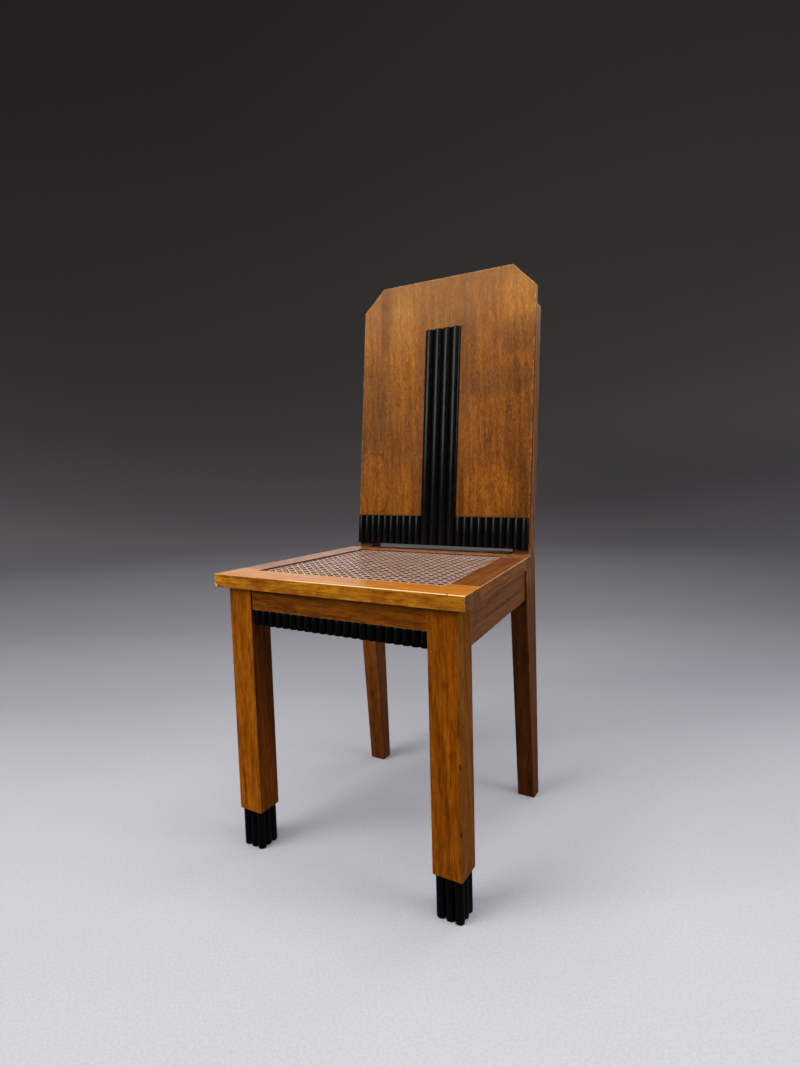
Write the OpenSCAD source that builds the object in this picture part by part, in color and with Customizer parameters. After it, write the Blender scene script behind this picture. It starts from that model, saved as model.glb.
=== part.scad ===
/* [Seat frame] */
// Height of the seat frame's top above the floor
seat_h = 470; // [430:1:500]
// Width of the seat along its front edge
seat_front_w = 444; // [420:1:480]
// Width of the seat along its rear edge
seat_rear_w = 380; // [360:1:410]
// Depth of the seat frame, front edge to rear edge
seat_depth = 368; // [340:1:420]
// Thickness of the four seat rails
frame_t = 22; // [20:0.5:28]
// Width of the front rail's bare top, in front of the cane
front_rail_w = 51; // [40:1:60]
// Width of each side rail's bare top, beside the cane
side_rail_w = 45; // [38:1:52]
// Width of the rear rail's bare top, behind the cane
rear_rail_w = 32; // [26:1:42]
// Width of the ledge that carries the rim of the cane
ledge_w = 9; // [6:0.5:12]
// Depth of the ledge below the frame's top
ledge_drop = 3.2; // [2.6:0.1:4]

/* [Cane] */
// Thickness of the woven sheet
cane_t = 1.8; // [1.2:0.1:2.2]
// Spacing of the gaps in the net
gap_pitch = 18.4; // [17.5:0.1:24]
// Width of one eight-sided gap
gap_w = 11.4; // [8:0.2:13]
// Bare border of the net along its four sides
net_border = 6; // [4:0.5:10]
// Width of the groove that the spline is pressed into
groove_w = 5; // [4:0.5:7]
// Depth of the groove below the ledge
groove_depth = 5; // [3:0.5:8]
// How far the spline narrows on each side towards its crown
spline_crown = 1.2; // [0.6:0.2:1.6]
// How far the spline's crown stays below the frame's top
spline_drop = 0.8; // [0.4:0.1:1.6]

/* [Front legs] */
// Width of a front leg, seen from the front
leg_w = 46; // [40:1:54]
// Depth of a front leg, seen from the side
leg_d = 46; // [40:1:50]
// How far the legs stand behind the seat's front edge
leg_setback = 15; // [10:1:24]
// How far the legs stand in from the seat's front corners
leg_inset = 18; // [12:1:24]
// Eased corner along the edges of the front legs
leg_arris = 1.4; // [0.6:0.2:3]

/* [Front feet] */
// Height of the dark reeded foot under each front leg
foot_h = 65; // [50:1:80]
// How far the foot stands in from the leg's faces
foot_inset = 2; // [1.5:0.5:6]
// Number of lobes along each side of the foot
foot_lobes = 3; // [2:1:5]
// Eased lower edge of the lobes
foot_ease = 2.6; // [1:0.2:4]

/* [Rear legs] */
// Width of a rear leg, seen from the front
post_w = 32; // [28:1:36]
// Depth of a rear leg at the seat
post_seat_d = 46; // [42:1:52]
// Depth of a rear leg at the floor
post_floor_d = 27; // [22:1:34]
// Depth of a rear leg behind the panel, at its top
post_top_d = 21; // [16:1:26]
// Height of the rear legs' tops
post_top_h = 923; // [860:1:950]
// How far the rear legs lean back from the aprons to the floor
post_splay = 32; // [0:1:50]
// How far the rear legs stand in from the seat's rear corners
post_inset = 9; // [6:1:16]
// How far the rear legs are cut back under the panel's lower edge
post_recess = 5; // [2:0.5:8]

/* [Aprons] */
// Height of the front and side aprons below the seat frame
apron_h = 61; // [50:1:70]
// Thickness of the aprons
apron_t = 20; // [18:1:24]
// How far the front apron's face stays behind the legs' faces
apron_recess = 3; // [1:0.5:6]
// How far the rear apron rises above the seat's top
rear_apron_rise = 2; // [0:0.5:4]
// How far a side apron's face stays inside the front leg's face
side_reveal_front = 0.4; // [0:0.1:3]
// How far a side apron's face stays inside the rear leg's face
side_reveal_rear = 4; // [2:0.5:7]
// Thickness of the front apron's tenons
tenon_t = 8; // [6:0.5:10]
// Length of the front apron's tenons
tenon_l = 20; // [12:1:26]
// Shoulder above the front apron's tenons
tenon_shoulder = 10; // [6:1:14]
// Shoulder below the front apron's tenons, above the reeding
tenon_foot = 5; // [3:1:8]

/* [Apron reeding] */
// Number of reeds below the front apron
apron_reeds = 22; // [12:1:30]
// Height of those reeds
apron_reed_h = 25; // [16:1:30]
// How far those reeds stand out of their backing
apron_reed_rise = 6.2; // [4:0.2:7]
// Thickness of every reeding's backing
backing_t = 1.6; // [1:0.1:2.4]

/* [Back panel] */
// Width of the back panel
back_w = 362; // [350:1:380]
// Height of the back panel's top above the floor
back_top_h = 997; // [970:1:1040]
// Thickness of the back panel
back_t = 12; // [9:0.5:15]
// Lean of the back, in degrees
back_rake = 6.5; // [4:0.5:10]
// Gap between the seat's top and the panel's lower edge
back_gap = 8; // [5:0.5:14]
// How far the panel's face stays behind the seat's rear edge
back_setback = 9; // [7:0.5:14]
// Size of the two cut corners at the top
back_chamfer = 44; // [20:1:70]

/* [Back reeding] */
// Number of reeds in the upright at the centre
centre_reeds = 4; // [2:1:6]
// Width of one upright reed
centre_reed_w = 18.5; // [14:0.5:22]
// Length of the upright reeds, from the panel's lower edge
centre_reed_l = 422; // [300:1:460]
// How far the upright reeds stand out of their backing
centre_reed_rise = 5.6; // [4:0.2:8]
// Number of reeds in the band on each side
band_reeds = 10; // [6:1:14]
// Height of the band
band_h = 57.5; // [40:0.5:80]
// How far the band's reeds stand out of their backing
band_reed_rise = 4.8; // [3:0.2:6]

/* [Joinery] */
// Diameter of the dowels in the aprons
dowel_d = 8; // [6:0.5:10]
// Length of the dowels in the aprons
dowel_l = 28; // [20:1:34]
// Distance of the side aprons' dowels from the aprons' edges
dowel_margin = 14.5; // [12:0.5:18]
// Diameter of the dowels in the seat frame
frame_dowel_d = 6; // [5:0.5:8]
// Length of the dowels in the seat frame
frame_dowel_l = 28; // [20:1:34]
// Distance of those dowels from the edges of the rail's bare top
frame_dowel_margin = 12.5; // [10:0.5:16]
// Diameter of the dowels in the feet
foot_dowel_d = 14; // [10:1:16]
// Length of the dowels in the feet
foot_dowel_l = 44; // [30:1:60]
// Clearance round dowels, tenons and screws, on each side
fit = 0.1; // [0.05:0.05:0.3]
// Height of the corner blocks
block_h = 28; // [20:1:40]
// Reach of the corner blocks along the aprons
block_reach = 56; // [38:1:60]
// Diameter of the screws' shanks
screw_d = 4; // [3:0.5:5]
// Diameter of the screws' heads
screw_head_d = 8; // [7:0.5:9]
// Diameter of the screws' blunt tips
screw_tip_d = 1; // [0.6:0.2:1.6]
// How far the block screws' heads lie inside the blocks
block_screw_sink = 5.6; // [5:0.2:8]
// How far the block screws reach into the aprons
block_screw_bite = 12; // [8:1:15]
// Distance of the seat screws from the legs and aprons
seat_screw_margin = 12; // [10:0.5:14]
// Distance of the outer panel screws from the ends of the back
panel_screw_margin = 30; // [20:1:60]

/* [Hidden] */
$fn = 48;
skew = (seat_front_w - seat_rear_w) / 2 / seat_depth;
skew_scale = sqrt(1 + skew * skew);
frame_bottom = seat_h - frame_t;
ledge_z = seat_h - ledge_drop;
rebate_w = groove_w + ledge_w;
front_joint_y = front_rail_w + rebate_w;
rear_joint_y = seat_depth - rear_rail_w - rebate_w;
apron_bottom = frame_bottom - apron_h;
rear_apron_top = seat_h + rear_apron_rise;

leg_outer = seat_front_w / 2 - leg_inset;
leg_inner = leg_outer - leg_w;
leg_back_y = leg_setback + leg_d;
post_outer = seat_rear_w / 2 - post_inset;
post_inner = post_outer - post_w;

front_apron_y = leg_setback + apron_recess;
front_apron_back_y = front_apron_y + apron_t;
apron_side_front = leg_outer - side_reveal_front;
apron_side_rear = post_outer - side_reveal_rear;
apron_skew = (apron_side_front - apron_side_rear) / (seat_depth - leg_back_y);
apron_skew_scale = sqrt(1 + apron_skew * apron_skew);
apron_side_t = apron_t * apron_skew_scale;

back_foot_z = seat_h + back_gap;
back_foot_y = seat_depth + back_setback + back_gap * tan(back_rake);
back_l = (back_top_h - back_foot_z) / cos(back_rake);
post_l = (post_top_h - back_foot_z) / cos(back_rake);
knee_y = seat_depth + post_seat_d;
floor_y = seat_depth + post_splay;

// A point of the leaning back, given by its depth behind the panel's face and its height along it
function lean(depth, up) = [
    back_foot_y + depth * cos(back_rake) + up * sin(back_rake),
    back_foot_z - depth * sin(back_rake) + up * cos(back_rake)
];
overall_depth = max(lean(back_t, back_l)[0], lean(back_t + post_top_d, post_l)[0], floor_y + post_floor_d);

// The seat's outline drawn in from its front, side and rear edges
function seat_x(y, inward) = seat_front_w / 2 - skew * y - inward * skew_scale;
function seat_outline(front, side, rear) = [
    [-seat_x(front, side), front],
    [seat_x(front, side), front],
    [seat_x(seat_depth - rear, side), seat_depth - rear],
    [-seat_x(seat_depth - rear, side), seat_depth - rear]
];
// The outer face of a side apron at a given depth
function apron_x(y) = apron_side_front - apron_skew * (y - leg_back_y);

walnut = "#9c6430";
golden = "#b3762f";
ebony = "#1b1b1d";
cane = "#a5765e";
beech = "#cda874";
steel = "#8d9094";

// Everything is drawn with the seat's front edge at zero and then centred in depth
module placed() {
    translate([0, -overall_depth / 2, 0]) children();
}

module on_side(side) {
    if (side < 0) mirror([1, 0, 0]) children();
    else children();
}

// The leaning frame of the back: x across, y into its thickness, z up along its face
module on_back() {
    translate([0, back_foot_y, back_foot_z]) rotate([-back_rake, 0, 0]) children();
}

// A flat outline in depth and height, made solid between two widths
module across(x0, x1) {
    translate([x0, 0, 0]) rotate([90, 0, 90]) linear_extrude(x1 - x0) children();
}

module dowel(d, l) {
    translate([0, 0, -l / 2]) cylinder(d = d, h = l);
}

module dowel_hole(d, l) {
    dowel(d + 2 * fit, l + 2 * fit);
}

// A wood screw that points down, with the flat of its head at zero
module screw(l) {
    head_h = (screw_head_d - screw_d) / 2;
    translate([0, 0, -head_h]) cylinder(d1 = screw_d, d2 = screw_head_d, h = head_h);
    translate([0, 0, -l + screw_d]) cylinder(d = screw_d, h = l - screw_d - head_h);
    translate([0, 0, -l]) cylinder(d1 = screw_tip_d, d2 = screw_d, h = screw_d);
}

// Its hole, with a straight bore above the head that the driver reaches in through
module screw_hole(l) {
    head_h = (screw_head_d - screw_d) / 2;
    translate([0, 0, -l - fit]) cylinder(d = screw_d + 2 * fit, h = l);
    translate([0, 0, -head_h]) cylinder(d1 = screw_d + 2 * fit, d2 = screw_head_d + 2 * fit, h = head_h);
    cylinder(d = screw_head_d + 2 * fit, h = screw_head_d);
}

// Half-round reeds side by side on a thin backing, with their crowns towards the front.
// The valleys between them lie at the backing's thickness
module reed_row(count, width, rise, height) {
    radius = (width * width / 4 + rise * rise) / 2 / rise;
    linear_extrude(height) {
        translate([0, fit - backing_t]) square([count * width, backing_t - fit]);
        intersection() {
            translate([0, -rise - backing_t]) square([count * width, rise + backing_t]);
            for (i = [0 : count - 1])
                translate([(i + 0.5) * width, radius - rise - backing_t]) circle(radius, $fn = 64);
        }
    }
}

// Heights of the dowels that hold the side aprons to the legs
side_dowel_z = [apron_bottom + dowel_margin, frame_bottom - dowel_margin];
// Heights of the rear apron's dowels, which pass between those of the side aprons
rear_dowel_z = [(side_dowel_z[0] + side_dowel_z[1]) / 2, (side_dowel_z[1] + rear_apron_top) / 2];

module side_dowel_places() {
    for (y = [leg_back_y, seat_depth], z = side_dowel_z)
        translate([apron_x(y) - apron_side_t / 2, y, z]) rotate([90, 0, 0]) children();
}

module rear_dowel_places() {
    for (z = rear_dowel_z) translate([post_inner, seat_depth + apron_t / 2, z]) rotate([0, 90, 0]) children();
}

module apron_dowel_holes() {
    side_dowel_places() dowel_hole(dowel_d, dowel_l);
    rear_dowel_places() dowel_hole(dowel_d, dowel_l);
}

// Two dowels in each corner of the seat frame, spread over the side rail's bare top
module frame_dowel_places() {
    for (y = [front_joint_y, rear_joint_y], inward = [frame_dowel_margin, side_rail_w - frame_dowel_margin])
        translate([seat_x(y, inward), y, frame_bottom + frame_t / 2]) rotate([90, 0, 0]) children();
}

module foot_dowel_place() {
    translate([leg_outer - leg_w / 2, leg_setback + leg_d / 2, foot_h]) children();
}

// Front legs
module front_leg(side) color(golden) placed() on_side(side) difference() {
    translate([leg_inner, leg_setback, foot_h]) linear_extrude(frame_bottom - foot_h) polygon([
        [leg_arris, 0], [leg_w - leg_arris, 0], [leg_w, leg_arris], [leg_w, leg_d - leg_arris],
        [leg_w - leg_arris, leg_d], [leg_arris, leg_d], [0, leg_d - leg_arris], [0, leg_arris]
    ]);
    tenon(fit);
    apron_dowel_holes();
    foot_dowel_place() dowel_hole(foot_dowel_d, foot_dowel_l);
}

module front_leg_left() front_leg(-1);
module front_leg_right() front_leg(1);

// Reeded feet: a square of touching lobes, eased at the floor
lobe_w = (leg_w - 2 * foot_inset) / foot_lobes;
lobe_d = (leg_d - 2 * foot_inset) / foot_lobes;
lobe_r = min(lobe_w, lobe_d) / 2;

module foot_lobe() {
    translate([0, 0, foot_ease]) cylinder(r = lobe_r, h = foot_h - foot_ease);
    cylinder(r1 = lobe_r - foot_ease, r2 = lobe_r, h = foot_ease);
}

module front_foot(side) color(ebony) placed() on_side(side) difference() {
    union() {
        for (i = [0 : foot_lobes - 1], j = [0 : foot_lobes - 1])
            if (i == 0 || j == 0 || i == foot_lobes - 1 || j == foot_lobes - 1)
                translate([
                    leg_inner + foot_inset + lobe_r + i * (leg_w - 2 * foot_inset - 2 * lobe_r) / (foot_lobes - 1),
                    leg_setback + foot_inset + lobe_r + j * (leg_d - 2 * foot_inset - 2 * lobe_r) / (foot_lobes - 1), 0
                ]) foot_lobe();
        translate([leg_inner + foot_inset + lobe_r, leg_setback + foot_inset + lobe_r, 0])
            cube([leg_w - 2 * foot_inset - 2 * lobe_r, leg_d - 2 * foot_inset - 2 * lobe_r, foot_h]);
    }
    foot_dowel_place() dowel_hole(foot_dowel_d, foot_dowel_l);
}

module front_foot_left() front_foot(-1);
module front_foot_right() front_foot(1);

// Rear legs: one board from the floor to the back, cut back above the seat to seat the panel
module rear_leg(side) color(walnut) placed() on_side(side) difference() {
    across(post_inner, post_outer) polygon([
        [floor_y, 0], [seat_depth, apron_bottom], [seat_depth, seat_h],
        [lean(post_recess, 0)[0], seat_h], lean(post_recess, 0), lean(back_t, 0), lean(back_t, post_l),
        lean(back_t + post_top_d, post_l), [knee_y, seat_h], [floor_y + post_floor_d, 0]
    ]);
    apron_dowel_holes();
    panel_screw_places() screw_hole(panel_screw_l);
}

module rear_leg_left() rear_leg(-1);
module rear_leg_right() rear_leg(1);

// Front apron, rebated along its lower edge for the reeding, with a tenon at each end
module tenon(clearance) {
    translate([
        leg_inner - clearance, front_apron_y + (apron_t - tenon_t) / 2 - clearance,
        apron_bottom + apron_reed_h + tenon_foot - clearance
    ]) cube([
        tenon_l + 2 * clearance, tenon_t + 2 * clearance,
        apron_h - apron_reed_h - tenon_foot - tenon_shoulder + 2 * clearance
    ]);
}

apron_rebate = backing_t + apron_reed_rise;

module front_apron() color(golden) placed() difference() {
    union() {
        across(-leg_inner, leg_inner) polygon([
            [front_apron_y + apron_rebate, apron_bottom], [front_apron_back_y, apron_bottom],
            [front_apron_back_y, frame_bottom], [front_apron_y, frame_bottom],
            [front_apron_y, apron_bottom + apron_reed_h], [front_apron_y + apron_rebate, apron_bottom + apron_reed_h]
        ]);
        for (side = [-1, 1]) on_side(side) tenon(0);
    }
    for (side = [-1, 1]) on_side(side) front_block_screw_place() screw_hole(front_block_screw_l);
}

module apron_reeding() color(ebony) placed()
    translate([-leg_inner, front_apron_y + apron_rebate, apron_bottom])
        reed_row(apron_reeds, 2 * leg_inner / apron_reeds, apron_reed_rise, apron_reed_h);

// Side aprons, running between the legs along the seat's taper
module side_apron(side) color(walnut) placed() on_side(side) difference() {
    translate([0, 0, apron_bottom]) linear_extrude(apron_h) polygon([
        [apron_x(leg_back_y), leg_back_y], [apron_x(seat_depth), seat_depth],
        [apron_x(seat_depth) - apron_side_t, seat_depth], [apron_x(leg_back_y) - apron_side_t, leg_back_y]
    ]);
    apron_dowel_holes();
}

module side_apron_left() side_apron(-1);
module side_apron_right() side_apron(1);

// Rear apron, a little higher than the seat's top and fixed between the rear legs
module rear_apron() color(walnut) placed() difference() {
    translate([-post_inner, seat_depth, apron_bottom]) cube([2 * post_inner, apron_t, rear_apron_top - apron_bottom]);
    for (side = [-1, 1]) on_side(side) {
        apron_dowel_holes();
        rear_block_screw_place() screw_hole(rear_block_screw_l);
    }
}

// Seat frame: the front and rear rails run right across, and the side rails butt against them
function cross_rail(y0, y1) = [
    [-seat_x(y0, 0), y0], [seat_x(y0, 0), y0], [seat_x(y1, 0), y1], [-seat_x(y1, 0), y1]
];
side_rail = [
    [seat_x(front_joint_y, side_rail_w + rebate_w), front_joint_y], [seat_x(front_joint_y, 0), front_joint_y],
    [seat_x(rear_joint_y, 0), rear_joint_y], [seat_x(rear_joint_y, side_rail_w + rebate_w), rear_joint_y]
];

// The ledge for the cane's rim, and the groove at its outer edge, both routed round the opening
module cane_rebate() {
    translate([0, 0, ledge_z]) linear_extrude(frame_t)
        polygon(seat_outline(front_rail_w, side_rail_w, rear_rail_w));
    translate([0, 0, ledge_z - groove_depth]) linear_extrude(frame_t) difference() {
        polygon(seat_outline(front_rail_w, side_rail_w, rear_rail_w));
        polygon(seat_outline(front_rail_w + groove_w, side_rail_w + groove_w, rear_rail_w + groove_w));
    }
}

module seat_rail(outline) difference() {
    translate([0, 0, frame_bottom]) linear_extrude(frame_t) polygon(outline);
    cane_rebate();
    for (side = [-1, 1]) on_side(side) {
        frame_dowel_places() dowel_hole(frame_dowel_d, frame_dowel_l);
        seat_screw_places() screw_hole(seat_screw_l);
    }
}

module seat_front_rail() color(golden) placed() seat_rail(cross_rail(0, front_joint_y));
module seat_rear_rail() color(walnut) placed() seat_rail(cross_rail(rear_joint_y, seat_depth));
module seat_side_rail_left() color(walnut) placed() on_side(-1) seat_rail(side_rail);
module seat_side_rail_right() color(walnut) placed() seat_rail(side_rail);

// Woven cane: a flat net of eight-sided gaps that rests on the ledge inside the spline
net_front_y = front_rail_w + groove_w;
net_rear_y = seat_depth - rear_rail_w - groove_w;
net_rows = floor((net_rear_y - net_front_y - 2 * net_border - gap_w) / gap_pitch);
net_row_y = (net_front_y + net_rear_y) / 2 - net_rows * gap_pitch / 2;

module cane_panel() color(cane) placed() translate([0, 0, ledge_z]) linear_extrude(cane_t) difference() {
    polygon(seat_outline(net_front_y, side_rail_w + groove_w, seat_depth - net_rear_y));
    for (row = [0 : net_rows]) {
        y = net_row_y + row * gap_pitch;
        reach = seat_x(y + gap_w / 2, side_rail_w + groove_w + net_border) - gap_w / 2;
        columns = floor(reach / gap_pitch);
        for (column = [-columns : columns])
            translate([column * gap_pitch, y]) rotate(22.5) circle(d = gap_w / cos(22.5), $fn = 8);
    }
}

// Spline: one strip pressed into the groove all round, narrower towards its crown
spline_h = ledge_drop + groove_depth - spline_drop;

module spline_ring(inset, h) {
    inner = groove_w - inset;
    translate([0, 0, ledge_z - groove_depth]) linear_extrude(h) difference() {
        polygon(seat_outline(front_rail_w + inset, side_rail_w + inset, rear_rail_w + inset));
        polygon(seat_outline(front_rail_w + inner, side_rail_w + inner, rear_rail_w + inner));
    }
}

module cane_spline() color(cane) placed() {
    spline_ring(fit, spline_h - spline_crown);
    spline_ring(spline_crown, spline_h);
}

// Back panel, leaning, with its two upper corners cut off
module back_panel() color(golden) placed() difference() {
    on_back() translate([0, back_t, 0]) rotate([90, 0, 0]) linear_extrude(back_t) polygon([
        [-back_w / 2, 0], [back_w / 2, 0], [back_w / 2, back_l - back_chamfer],
        [back_w / 2 - back_chamfer, back_l], [-back_w / 2 + back_chamfer, back_l],
        [-back_w / 2, back_l - back_chamfer]
    ]);
    for (side = [-1, 1]) on_side(side) panel_screw_places() screw_hole(panel_screw_l);
}

// Dark reeding on the panel's face: an upright at the centre and a band on each side of it
centre_w = centre_reeds * centre_reed_w;
band_w = (back_w - centre_w) / 2;

module back_reeding_centre() color(ebony) placed() on_back()
    translate([-centre_w / 2, 0, 0]) reed_row(centre_reeds, centre_reed_w, centre_reed_rise, centre_reed_l);

module back_reeding_left() color(ebony) placed() on_back()
    translate([-back_w / 2, 0, 0]) reed_row(band_reeds, band_w / band_reeds, band_reed_rise, band_h);

module back_reeding_right() color(ebony) placed() on_back()
    translate([centre_w / 2, 0, 0]) reed_row(band_reeds, band_w / band_reeds, band_reed_rise, band_h);

// Corner blocks: the front pair is notched round the legs, the rear pair is plain
block_z = frame_bottom - block_h;
front_block_ends = [
    [leg_inner - block_reach, front_apron_back_y],
    [apron_x(leg_back_y + block_reach) - apron_side_t, leg_back_y + block_reach]
];
rear_block_ends = [
    [apron_x(seat_depth) - apron_side_t - block_reach, seat_depth],
    [apron_x(seat_depth - block_reach) - apron_side_t, seat_depth - block_reach]
];
front_block_middle = (front_block_ends[0] + front_block_ends[1]) / 2;
rear_block_middle = (rear_block_ends[0] + rear_block_ends[1]) / 2;

// Each block's screw starts in its slanting face and runs square into the front or rear apron
front_block_screw_l = front_block_middle[1] - front_apron_back_y - block_screw_sink + block_screw_bite;
rear_block_screw_l = seat_depth - rear_block_middle[1] - block_screw_sink + block_screw_bite;

module front_block_screw_place() {
    translate([front_block_middle[0], front_block_middle[1] - block_screw_sink, block_z + block_h / 2])
        rotate([-90, 0, 0]) children();
}

module rear_block_screw_place() {
    translate([rear_block_middle[0], rear_block_middle[1] + block_screw_sink, block_z + block_h / 2])
        rotate([90, 0, 0]) children();
}

module corner_block_front(side) color(beech) placed() on_side(side) difference() {
    translate([0, 0, block_z]) linear_extrude(block_h) polygon([
        front_block_ends[0], [leg_inner, front_apron_back_y], [leg_inner, leg_back_y],
        [apron_x(leg_back_y) - apron_side_t, leg_back_y], front_block_ends[1]
    ]);
    front_block_screw_place() screw_hole(front_block_screw_l);
    seat_screw_places() screw_hole(seat_screw_l);
}

module corner_block_rear(side) color(beech) placed() on_side(side) difference() {
    translate([0, 0, block_z]) linear_extrude(block_h) polygon([
        rear_block_ends[0], rear_block_ends[1], [apron_x(seat_depth) - apron_side_t, seat_depth]
    ]);
    rear_block_screw_place() screw_hole(rear_block_screw_l);
    seat_screw_places() screw_hole(seat_screw_l);
}

module corner_block_front_left() corner_block_front(-1);
module corner_block_front_right() corner_block_front(1);
module corner_block_rear_left() corner_block_rear(-1);
module corner_block_rear_right() corner_block_rear(1);

// Dowels and screws, each kind as one group
module apron_dowels() color(beech) placed() for (side = [-1, 1]) on_side(side) {
    side_dowel_places() dowel(dowel_d, dowel_l);
    rear_dowel_places() dowel(dowel_d, dowel_l);
}

module frame_dowels() color(beech) placed() for (side = [-1, 1]) on_side(side)
    frame_dowel_places() dowel(frame_dowel_d, frame_dowel_l);

module foot_dowels() color(beech) placed() for (side = [-1, 1]) on_side(side)
    foot_dowel_place() dowel(foot_dowel_d, foot_dowel_l);

module block_screws() color(steel) placed() for (side = [-1, 1]) on_side(side) {
    front_block_screw_place() screw(front_block_screw_l);
    rear_block_screw_place() screw(rear_block_screw_l);
}

// Screws that rise through the corner blocks into the seat frame
seat_screw_l = block_h + frame_t / 2;

module seat_screw_places() {
    for (y = [leg_back_y + seat_screw_margin, seat_depth - seat_screw_margin])
        translate([apron_x(y) - apron_side_t - seat_screw_margin, y, block_z]) mirror([0, 0, 1]) children();
}

module seat_screws() color(steel) placed() for (side = [-1, 1]) on_side(side)
    seat_screw_places() screw(seat_screw_l);

// Screws that go through the rear legs into the back panel
panel_screw_l = post_top_d + back_t / 2;
panel_screw_up = [panel_screw_margin, post_l / 2, post_l - panel_screw_margin];

module panel_screw_places() {
    for (up = panel_screw_up)
        on_back() translate([(post_inner + post_outer) / 2, back_t + post_depth(up), up]) rotate([-90, 0, 0]) children();
}

// Depth of a rear leg behind the panel at a height along the back
knee_depth = (knee_y - back_foot_y) * cos(back_rake) - (seat_h - back_foot_z) * sin(back_rake) - back_t;
knee_up = (knee_y - back_foot_y) * sin(back_rake) + (seat_h - back_foot_z) * cos(back_rake);
function post_depth(up) = knee_depth + (post_top_d - knee_depth) * (up - knee_up) / (post_l - knee_up);

module panel_screws() color(steel) placed() for (side = [-1, 1]) on_side(side)
    panel_screw_places() screw(panel_screw_l);

front_leg_left();
front_leg_right();
front_foot_left();
front_foot_right();
rear_leg_left();
rear_leg_right();
front_apron();
side_apron_left();
side_apron_right();
rear_apron();
apron_reeding();
seat_front_rail();
seat_rear_rail();
seat_side_rail_left();
seat_side_rail_right();
cane_panel();
cane_spline();
back_panel();
back_reeding_centre();
back_reeding_left();
back_reeding_right();
corner_block_front_left();
corner_block_front_right();
corner_block_rear_left();
corner_block_rear_right();
apron_dowels();
frame_dowels();
foot_dowels();
block_screws();
seat_screws();
panel_screws();
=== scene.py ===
# %% [markdown]
# # A side chair with a raked panel back and a cane seat
# The chair is a golden brown wooden frame on four legs, with black half-round reeding on its
# back, under its front apron and on its front feet, and a sheet of woven cane let into its seat.
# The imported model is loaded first. It is the measured frame that every piece below is fitted to,
# so its boxes give the sizes, and nothing has to be placed by eye.

# %% Load the frame
import math

import bmesh
import bpy
from mathutils import Matrix, Vector


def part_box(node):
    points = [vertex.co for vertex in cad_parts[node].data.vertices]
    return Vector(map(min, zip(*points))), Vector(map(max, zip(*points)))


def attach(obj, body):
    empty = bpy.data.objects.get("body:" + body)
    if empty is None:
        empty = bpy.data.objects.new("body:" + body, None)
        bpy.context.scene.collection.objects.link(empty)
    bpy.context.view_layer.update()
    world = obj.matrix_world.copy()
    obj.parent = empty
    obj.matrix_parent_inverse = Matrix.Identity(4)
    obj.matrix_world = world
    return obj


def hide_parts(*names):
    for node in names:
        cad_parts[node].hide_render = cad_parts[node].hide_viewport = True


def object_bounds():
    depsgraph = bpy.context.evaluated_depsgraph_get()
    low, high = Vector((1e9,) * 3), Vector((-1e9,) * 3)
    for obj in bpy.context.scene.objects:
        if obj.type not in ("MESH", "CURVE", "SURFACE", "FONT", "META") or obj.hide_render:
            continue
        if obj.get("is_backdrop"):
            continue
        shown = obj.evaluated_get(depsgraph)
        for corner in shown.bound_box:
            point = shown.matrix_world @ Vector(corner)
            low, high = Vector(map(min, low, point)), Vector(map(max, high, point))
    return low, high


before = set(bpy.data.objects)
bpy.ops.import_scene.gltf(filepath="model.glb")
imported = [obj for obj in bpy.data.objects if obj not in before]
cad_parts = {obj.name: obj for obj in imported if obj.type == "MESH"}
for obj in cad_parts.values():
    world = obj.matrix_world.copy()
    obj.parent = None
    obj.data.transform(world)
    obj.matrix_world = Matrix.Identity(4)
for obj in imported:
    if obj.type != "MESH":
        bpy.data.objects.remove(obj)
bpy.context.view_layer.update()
MM = 0.001

# %% [markdown]
# ## Camera
# The photograph was taken from near the sitter's left, a little above the seat, with a wide lens.
# The camera could be moved about until the picture looks right. Here its place was worked out
# from the corners of the chair, which is surer. A camera looks along its own -Z axis, so its
# matrix is built from three directions: to its right, up, and back towards the viewer.

# %% Camera
IMAGE_W, IMAGE_H = 800, 1067
EYE = Vector((0.5485, -0.9787, 0.6426))
TURN, TILT, LEAN = 0.5691, -0.0950, -0.0326  # radians: to the left, up, and over to the right
FOCAL_PIXELS = 644.0
AXIS_PIXEL = (362.2, 524.4)

ahead = Vector((-math.sin(TURN) * math.cos(TILT), math.cos(TURN) * math.cos(TILT), math.sin(TILT)))
level = Vector((math.cos(TURN), math.sin(TURN), 0))
upward = level.cross(ahead)
right = level * math.cos(LEAN) + upward * math.sin(LEAN)
up = upward * math.cos(LEAN) - level * math.sin(LEAN)

lens = bpy.data.cameras.new("camera")
lens.sensor_width = 36
lens.lens = FOCAL_PIXELS / IMAGE_H * lens.sensor_width
lens.shift_x = (IMAGE_W / 2 - AXIS_PIXEL[0]) / IMAGE_H
lens.shift_y = (AXIS_PIXEL[1] - IMAGE_H / 2) / IMAGE_H
camera = bpy.data.objects.new("camera", lens)
camera.matrix_world = Matrix.Translation(EYE) @ Matrix((right, up, -ahead)).transposed().to_4x4()
bpy.context.collection.objects.link(camera)
bpy.context.scene.camera = camera
print("lens", round(lens.lens, 2), "mm")

# %% [markdown]
# ## Floor
# A pale floor that bends up into a wall has no horizon line, as in a photo studio. It could be a
# strip of paper behind the chair, but then the views from the side would show its edge. Here it
# is a round bowl, made of rings of points, so it looks the same from every side. It takes
# shadows, but sends no light back up, so that the undersides and the inner faces of the legs stay
# as dark as on the real chair.

# %% Floor
FLAT_REACH, BEND, WALL_TOP = 4.0, 3.0, 9.0  # metres


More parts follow.
